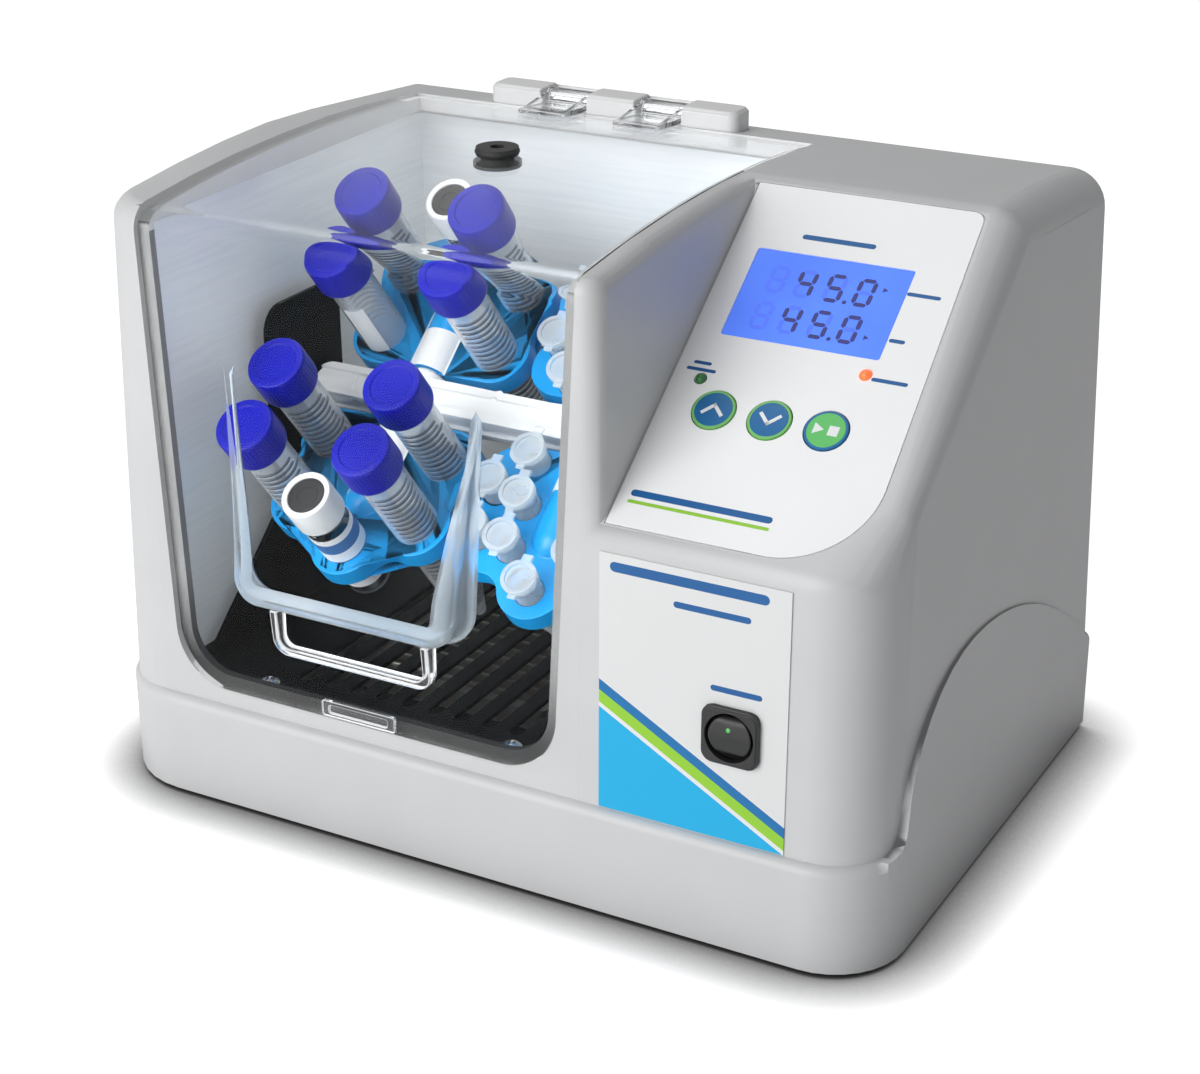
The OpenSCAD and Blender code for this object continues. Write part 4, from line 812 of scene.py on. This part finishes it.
# %% Vial glass and wrap
VIAL_TOP = 36.0
bm = lathe(raised([
    (0, -56), (7.6, -56), (8.3, -55.3), (8.3, -14.2), (7.7, -12.4), (6.4, -12), (6.4, -1), (4.8, -1),
    (4.8, -12), (7.1, -14.4), (7.1, -54.6), (0, -54.6),
], VIAL_TOP), 36)
repeat(bm, vial_places)
add_piece(bm, "vial_glass", "rotor", tube_clear, ["vials"], 40)
bm = lathe(raised([(8.38, -50), (8.5, -50), (8.5, -17), (8.38, -17), (8.38, -50)], VIAL_TOP), 36)
map_round(bm)
repeat(bm, vial_places)
vial_paper, tree, shader = new_finish("vial_paper")
tone = varied(tree, shader, (0.82, 0.83, 0.84), (0.88, 0.89, 0.9), 0.5, 0.05, 2600.0, 0.05)
_, height = print_axes(tree)
rules = combined(tree, "MULTIPLY", ruled(tree, height, 28.0, 0.28), between(tree, height, -0.1, 0.07))
printed = combined(tree, "MAXIMUM", rules, between(tree, height, 0.1, 0.16))
tinted(tree, shader, tone, printed, (0.05, 0.16, 0.4, 1))
add_piece(bm, "vial_wraps", "rotor", vial_paper, (), 40)

# %% Vial caps and plugs
FLUTES, FLUTE_DEPTH = 36, 0.012
bm = lathe(raised([
    (6.55, -11.4), (9, -11.4), (9.3, -11), (9.3, 1), (8.8, 1.8), (7.6, 1.8), (7, 1.3), (7, -0.8),
    (6.55, -0.8), (6.55, -11.4),
], VIAL_TOP), FLUTES * 2)
for v in bm.verts:
    if VIAL_TOP - 11.2 < v.co.z < VIAL_TOP + 1.2 and v.co.xy.length > 9.1:
        v.co.xy *= 1 - FLUTE_DEPTH * (round(FLUTES * math.atan2(v.co.y, v.co.x) / math.pi) % 2)
repeat(bm, vial_places)
add_piece(bm, "vial_collars", "rotor", beam_white, ["vial_caps"], 40)
bm = lathe(raised([
    (0, -0.8), (6.9, -0.8), (6.9, 0.9), (6.6, 1.1), (4.6, 1.1), (4.3, 1.4), (3.4, 1.4), (3.1, 1), (0, 0.9),
], VIAL_TOP), 48)
repeat(bm, vial_places)
add_piece(bm, "vial_plugs", "rotor", rubber_black, ["vial_septa"], 40)

# %% [markdown]
# ## Screws and inlet pins
# Domed screws with a cross recess hold the slotted floor. The dome is spun as an open ring, a cross-shaped
# hole is filled in with triangles, and the edge of the cross is pushed down. The mains inlet gets flat pins.

# %% Floor screws
DOME_R, DOME_DROP, RECESS_FLOOR = 5.1, 3.1, 0.7
SCREW_X, SCREW_Y, SCREW_Z = (-90.5, 10.5), (20.5, 176), 43
ARM = ((0.45, 0.45), (0.4, 1.8), (-0.4, 1.8))


def dome(r):
    return math.sqrt(DOME_R ** 2 - r * r) - DOME_DROP


shank = [(4, -0.05), (1.5, -0.05), (1.5, -4), (0, -4)]
bm = lathe([(r, dome(r)) for r in (2.3, 2.8, 3.3, 3.7, 3.95)] + shank, 40)
cross = []
for quarter in range(4):
    turned = Matrix.Rotation(quarter * math.pi / 2, 4, "Z")
    cross += [turned @ Vector((x, y, dome(math.hypot(x, y)))) for x, y in ARM]
loop = [bm.verts.new(p) for p in cross]
cross_edges = [bm.edges.new((v, loop[(k + 1) % len(loop)])) for k, v in enumerate(loop)]
hole = [e for e in bm.edges if e.is_boundary]
bmesh.ops.triangle_fill(bm, use_beauty=True, edges=hole + cross_edges, normal=(0, 0, 1))
grown = bmesh.ops.extrude_edge_only(bm, edges=cross_edges)["geom"]
for v in verts_in(grown):
    v.co = Vector((v.co.x * 0.75, v.co.y * 0.75, RECESS_FLOOR))
recess = [e for e in edges_in(grown) if e.is_boundary and all(v in grown for v in e.verts)]
bmesh.ops.triangle_fill(bm, use_beauty=True, edges=recess, normal=(0, 0, 1))
bmesh.ops.recalc_face_normals(bm, faces=bm.faces)
repeat(bm, [BENCH @ Matrix.Translation((x, y, SCREW_Z)) for x in SCREW_X for y in SCREW_Y])
add_piece(bm, "cross_screws", "cabinet", bright_steel, ["grille_screws"], 30)

# %% Inlet pins
PIN_FOOT_Y, PIN_L = 184.9, 12
bm = bmesh.new()
for x, z in ((105.5, 70), (119.5, 70), (112.5, 74.5)):
    corners = [(x - 2, z - 1), (x + 2, z - 1), (x + 2, z + 1), (x - 2, z + 1)]
    bm.faces.new([bm.verts.new((px, PIN_FOOT_Y, pz)) for px, pz in corners])
grown = bmesh.ops.extrude_face_region(bm, geom=bm.faces[:])["geom"]
bmesh.ops.translate(bm, vec=(0, PIN_L, 0), verts=verts_in(grown))
tips = [e for e in bm.edges if all(v.co.y > PIN_FOOT_Y + PIN_L / 2 for v in e.verts)]
bmesh.ops.bevel(
    bm, geom=tips, offset=0.6, offset_type="OFFSET", segments=2, profile=0.5, affect="EDGES", material=-1,
)
bmesh.ops.recalc_face_normals(bm, faces=bm.faces)
bmesh.ops.transform(bm, matrix=BENCH, verts=bm.verts)
add_piece(bm, "inlet_pins", "cabinet", bright_steel, (), 30)

# %% [markdown]
# ## Control panel
# The overlay is a white printed film over the slope. The display shows two rows of seven-segment figures on
# a blue backlight, with the unlit segments just visible. Each segment is a thin flat bar, which stays crisp
# close by where a picture of the figures would blur.

# %% Overlay and display
film_white = moulded("film_white", (0.93, 0.94, 0.945), (0.96, 0.97, 0.975), 0.4, 0.04, 3600.0, 0.05)
dress("panel_overlay", film_white, 0.15)
backlight, tree, shader = new_finish("backlight")
tone = varied(tree, shader, (0.07, 0.16, 0.72), (0.09, 0.21, 0.8), 0.35, 0.04, 900.0, 0.01)
link(tree, tone, "Color", shader, "Emission Color")
set_sockets(shader, {"Emission Strength": 0.65, "Specular IOR Level": 0.15})
dress("lcd_window", backlight, 0.2)

# %% Figures of the display
SEGMENTS = {"0": "abcdef", "4": "fgbc", "5": "afgcd", "8": "abcdefg"}
GLYPH_W, GLYPH_H, BAR, GAP = 5.0, 9.6, 1.5, 0.22
SLANT = math.tan(math.radians(2))


def bar_shape(bm, x0, y0, x1, y1, width):
    """A segment: a flat bar with pointed ends between two points."""
    along = Vector((x1 - x0, y1 - y0)).normalized()
    side = Vector((-along.y, along.x)) * width / 2
    a, b = Vector((x0, y0)), Vector((x1, y1))
    tip = along * width / 2
    spots = [a, a + tip + side, b - tip + side, b, b - tip - side, a + tip - side]
    return bm.faces.new([bm.verts.new((p.x + SLANT * p.y, p.y, 0)) for p in spots])


def figure(bm, char, x, y):
    """The bars of one figure, with its foot at a point of the panel."""
    w, h = GLYPH_W, GLYPH_H
    ends = {
        "a": (0, h, w, h), "g": (0, h / 2, w, h / 2), "d": (0, 0, w, 0), "f": (0, h / 2, 0, h),
        "b": (w, h / 2, w, h), "e": (0, 0, 0, h / 2), "c": (w, 0, w, h / 2),
    }
    faces = []
    for name in SEGMENTS[char]:
        x0, y0, x1, y1 = ends[name]
        dx, dy = (GAP, 0) if y0 == y1 else (0, GAP)
        faces.append(bar_shape(bm, x0 + dx, y0 + dy, x1 - dx, y1 - dy, BAR))
    bmesh.ops.translate(bm, vec=(x, y, 0), verts=[v for f in faces for v in f.verts])


def laid(bm, height, thickness=0.06, plane=PANEL):
    """Gives flat shapes a thickness and lays them on the panel or another plane."""
    grown = bmesh.ops.extrude_face_region(bm, geom=bm.faces[:])["geom"]
    bmesh.ops.translate(bm, vec=(0, 0, thickness), verts=verts_in(grown))
    bmesh.ops.recalc_face_normals(bm, faces=bm.faces)
    bmesh.ops.translate(bm, vec=(0, 0, height), verts=bm.verts)
    bmesh.ops.transform(bm, matrix=plane, verts=bm.verts)


figure_ink = moulded("figure_ink", (0.004, 0.006, 0.16), (0.008, 0.01, 0.22), 0.3)
ghost_ink = moulded(
    "ghost_ink", (0.035, 0.1, 0.66), (0.05, 0.13, 0.74), 0.3,
    Emission_Color=(0.04, 0.12, 0.7, 1), Emission_Strength=0.62,
)
# Foot of the figures and height of the pointer in each row, on the panel in mm
FIGURE_ROWS = ((100.4, 107.4), (85.8, 88.6))
LIT_FIGURES = (("4", 81.3), ("5", 91.6), ("0", 102.0))
BLANK_X, DOT_POINT_X = 71.2, 99.2
lit, unlit = bmesh.new(), bmesh.new()
for low, mark in FIGURE_ROWS:
    for char, x in LIT_FIGURES:
        figure(lit, char, x, low)
        figure(unlit, "8", x, low)
    figure(unlit, "8", BLANK_X, low)
    dot = bmesh.ops.create_circle(lit, cap_ends=True, segments=12, radius=0.75)["verts"]
    bmesh.ops.translate(lit, vec=(DOT_POINT_X, low + 0.1, 0), verts=dot)
    tip = [(110.3, mark - 0.9, 0), (112.1, mark, 0), (110.3, mark + 0.9, 0)]
    lit.faces.new([lit.verts.new(p) for p in tip])
for bm, name, ink_finish in ((lit, "lit_figures", figure_ink), (unlit, "unlit_figures", ghost_ink)):
    laid(bm, -0.18 if bm is lit else -0.19)
    add_piece(bm, name, "cabinet", ink_finish, ())

# %% [markdown]
# ## Keys and indicator lights
# The keys are round caps with a coloured print. Their CAD nodes keep the ring that is seen round the print.
# The print is a thin disc on top and its mark a flat shape on the disc, both on the key's own body, so that
# they move with it. The two lights share one node, so its finish picks a colour by the side it is on.

# %% Keys and their prints
KEY_S = 52.49
DISC_R, DISC_LOW, DISC_HIGH = 6.35, 0.41, 0.56
KEY_X = {"up_key": 72.1, "down_key": 91.6, "start_key": 111.1}
ring_green = moulded("ring_green", (0.16, 0.5, 0.12), (0.22, 0.6, 0.16), 0.4)
key_blue = moulded("key_blue", (0.0, 0.12, 0.33), (0.005, 0.16, 0.4), 0.36)
key_green = moulded("key_green", (0.1, 0.52, 0.12), (0.14, 0.6, 0.16), 0.36)
print_white = moulded("print_white", (0.85, 0.86, 0.87), (0.9, 0.91, 0.92), 0.45)
for key in KEY_X:
    dress(key, ring_green if key != "start_key" else key_blue, 0.2)


def disc(radius, low, high):
    return lathe([(0, low), (radius, low), (radius, high - 0.15), (radius - 0.3, high), (0, high)], 48)


for key, x in KEY_X.items():
    bm = disc(DISC_R, DISC_LOW, DISC_HIGH)
    bmesh.ops.transform(bm, matrix=PANEL @ Matrix.Translation((x, KEY_S, 0)), verts=bm.verts)
    finish = key_green if key == "start_key" else key_blue
    add_piece(bm, key + "_print", key, finish, ())

# %% Marks on the keys
PRINT_TOP = 0.57


def chevron(points, width):
    """A stroke through three points, as two bars that meet."""
    bm = bmesh.new()
    for a, b in zip(points, points[1:]):
        along = (Vector(b) - Vector(a)).normalized() * width / 2
        side = Vector((-along.y, along.x))
        a2, b2 = Vector(a) - along, Vector(b) + along
        bm.faces.new([bm.verts.new((*p, 0)) for p in (a2 + side, a2 - side, b2 - side, b2 + side)])
    return bm


for key, sign in (("up_key", 1), ("down_key", -1)):
    bm = chevron([(-3.2, -1.6 * sign), (0, 1.6 * sign), (3.2, -1.6 * sign)], 1.2)
    bmesh.ops.recalc_face_normals(bm, faces=bm.faces)
    bmesh.ops.translate(bm, vec=(KEY_X[key], KEY_S, 0), verts=bm.verts)
    laid(bm, PRINT_TOP)
    add_piece(bm, key + "_mark", key, print_white, ())
bm = bmesh.new()
bm.faces.new([bm.verts.new(p) for p in ((-4.2, -2.1, 0), (-0.7, 0, 0), (-4.2, 2.1, 0))])
bm.faces.new([bm.verts.new(p) for p in ((0.8, -1.8, 0), (4.2, -1.8, 0), (4.2, 1.8, 0), (0.8, 1.8, 0))])
bmesh.ops.recalc_face_normals(bm, faces=bm.faces)
bmesh.ops.translate(bm, vec=(KEY_X["start_key"], KEY_S, 0), verts=bm.verts)
laid(bm, PRINT_TOP)
add_piece(bm, "start_key_mark", "start_key", print_white, ())

# %% Indicator lights
BETWEEN_LIGHTS_X, LIT_STRENGTH = 0.09, 0.7
lens, tree, shader = new_finish("indicator_lens")
tone = varied(tree, shader, (0.02, 0.16, 0.04), (0.04, 0.22, 0.06), 0.2, 0.04, 900.0, 0.02)
right_side = combined(tree, "GREATER_THAN", object_axes(tree)[0], BETWEEN_LIGHTS_X)
warm = tinted(tree, shader, tone, right_side, (0.95, 0.16, 0.04, 1))
link(tree, warm, 2, shader, "Emission Color")
tree.links.new(combined(tree, "MULTIPLY", right_side, LIT_STRENGTH), shader.inputs["Emission Strength"])
dress("indicator_lights", lens)

# %% [markdown]
# ## Front label and prints
# The label is a light film with plain slanting bands in sky blue, green and navy. One ramp with hard steps
# draws them along a tilted height, which needs no picture. Plain bars with round ends are printed on the film
# and on the panel, each a thin flat shape of its own.

# %% Label
BAND_SLOPE, BAND_LOW, BAND_HIGH = 0.55, 0.06, 0.2
label_film, tree, shader = new_finish("label_film")
varied(tree, shader, (0.74, 0.75, 0.75), (0.78, 0.79, 0.79), 0.38, 0.04, 3600.0, 0.04)
axes = object_axes(tree)
tilted = combined(tree, "ADD", axes[2], combined(tree, "MULTIPLY", axes[0], BAND_SLOPE))
bands = add(tree, "ValToRGB")
bands.color_ramp.interpolation = "CONSTANT"
steps = [
    (0.0, (0.0, 0.43, 0.78)), (0.329, (0.8, 0.81, 0.81)), (0.343, (0.3, 0.62, 0.03)),
    (0.375, (0.0, 0.16, 0.42)), (0.4, (0.75, 0.76, 0.76)),
]
bands.color_ramp.elements.remove(bands.color_ramp.elements[1])
for position, colour in steps:
    spot = bands.color_ramp.elements[0] if position == 0 else bands.color_ramp.elements.new(position)
    spot.color = (*colour, 1)
scaled = add(tree, "MapRange", From_Min=BAND_LOW, From_Max=BAND_HIGH)
tree.links.new(tilted, scaled.inputs["Value"])
link(tree, scaled, 0, bands, 0)
link(tree, bands, "Color", shader, "Base Color")
dress("front_label", label_film, 0.08)


# %% Printed bars
def bar_print(bm, x0, x1, y, height):
    """A flat bar with round ends."""
    r = height / 2
    turns = [math.pi * (k / 8 - 0.5) for k in range(9)]
    spots = [(x1 - r + r * math.cos(a), y + r * math.sin(a), 0) for a in turns]
    spots += [(x0 + r - r * math.cos(a), y - r * math.sin(a), 0) for a in turns]
    bm.faces.new([bm.verts.new(p) for p in spots])


FACE = frame_at(0, face_y(40.4), 40.4, 88.8)
navy_ink = moulded("navy_ink", (0.0, 0.09, 0.3), (0.005, 0.12, 0.36), 0.42)
green_ink = moulded("green_ink", (0.26, 0.56, 0.03), (0.32, 0.64, 0.05), 0.42)
# Each bar: left end, right end, height on its plane, thickness
for name, ink_finish, plane, height, bars in [
    ("panel_captions", navy_ink, PANEL, -0.03, [
        (76.1, 102.1, 123.2, 1.9), (118.5, 130, 107.3, 1.4), (118.9, 124.3, 89, 1.4),
        (118.4, 130.7, 73.8, 1.4), (58.4, 64.7, 69, 1.2), (56.8, 67.2, 66.4, 1.2), (57.2, 106.2, 17.8, 2.4),
    ]),
    ("panel_stripe", green_ink, PANEL, -0.03, [(57.2, 106.2, 14.6, 1.2)]),
    ("label_captions", navy_ink, FACE, 0.38, [
        (57.5, 112.8, 86.3, 3.4), (80.0, 106.8, 78.2, 2.2), (93.4, 111.3, 52.8, 2.0),
    ]),
]:
    bm = bmesh.new()
    for x0, x1, y, thick in bars:
        bar_print(bm, x0, x1, y, thick)
    laid(bm, height, 0.08, plane)
    add_piece(bm, name, "cabinet", ink_finish, ())

# %% [markdown]
# ## Power rocker
# The rocker is a round button on a cross pin, with a soft ridge between its two halves and ends that fall
# away so that it can tip in its round hole. A disc of rings is spun, and each point is lowered to that form.

# %% Rocker
RIDGE_Z, RIDGE_ROUND, END_R, BLEND = 5.62, 1.1, 7.45, 0.25
SLOPE = math.radians(7)
BUTTON_Z = 5
DOT_X, DOT_Y = -0.4, 2.6


def rocker_top(y):
    """Height over the pin: the lower of a soft ridge and a round end, blended."""
    ridge = RIDGE_Z - (math.hypot(y, RIDGE_ROUND) - RIDGE_ROUND) * math.tan(SLOPE)
    end = math.sqrt(max(0.01, END_R ** 2 - y * y))
    return -BLEND * math.log(math.exp(-ridge / BLEND) + math.exp(-end / BLEND))


bm = lathe([
    *((r, BUTTON_Z) for r in (0, 1.2, 2.4, 3.6, 4.8, 5.7, 6.4, 6.9)), (7.2, 4.95), (7.42, 4.8), (7.5, 4.5),
    (7.5, -2.5), (0, -2.5),
], 64)
for v in bm.verts:
    if v.co.z > 0:
        v.co.z += rocker_top(v.co.y) - BUTTON_Z
pin_place = SWITCH @ Matrix.Translation((0, 0, -3))
bmesh.ops.transform(bm, matrix=pin_place, verts=bm.verts)
rocker_black = moulded("rocker_black", (0.01, 0.011, 0.01), (0.02, 0.021, 0.02), 0.42)
add_piece(bm, "rocker_button", "rocker", rocker_black, ["rocker"], 40)
bm = lathe([(0, -0.1), (0.75, -0.1), (0.75, 0.02), (0.6, 0.08), (0, 0.08)], 24)
dot_place = Matrix.Translation((DOT_X, DOT_Y, rocker_top(DOT_Y))) @ Matrix.Rotation(-SLOPE, 4, "X")
bmesh.ops.transform(bm, matrix=pin_place @ dot_place, verts=bm.verts)
add_piece(bm, "rocker_dot", "rocker", key_green, (), 40)
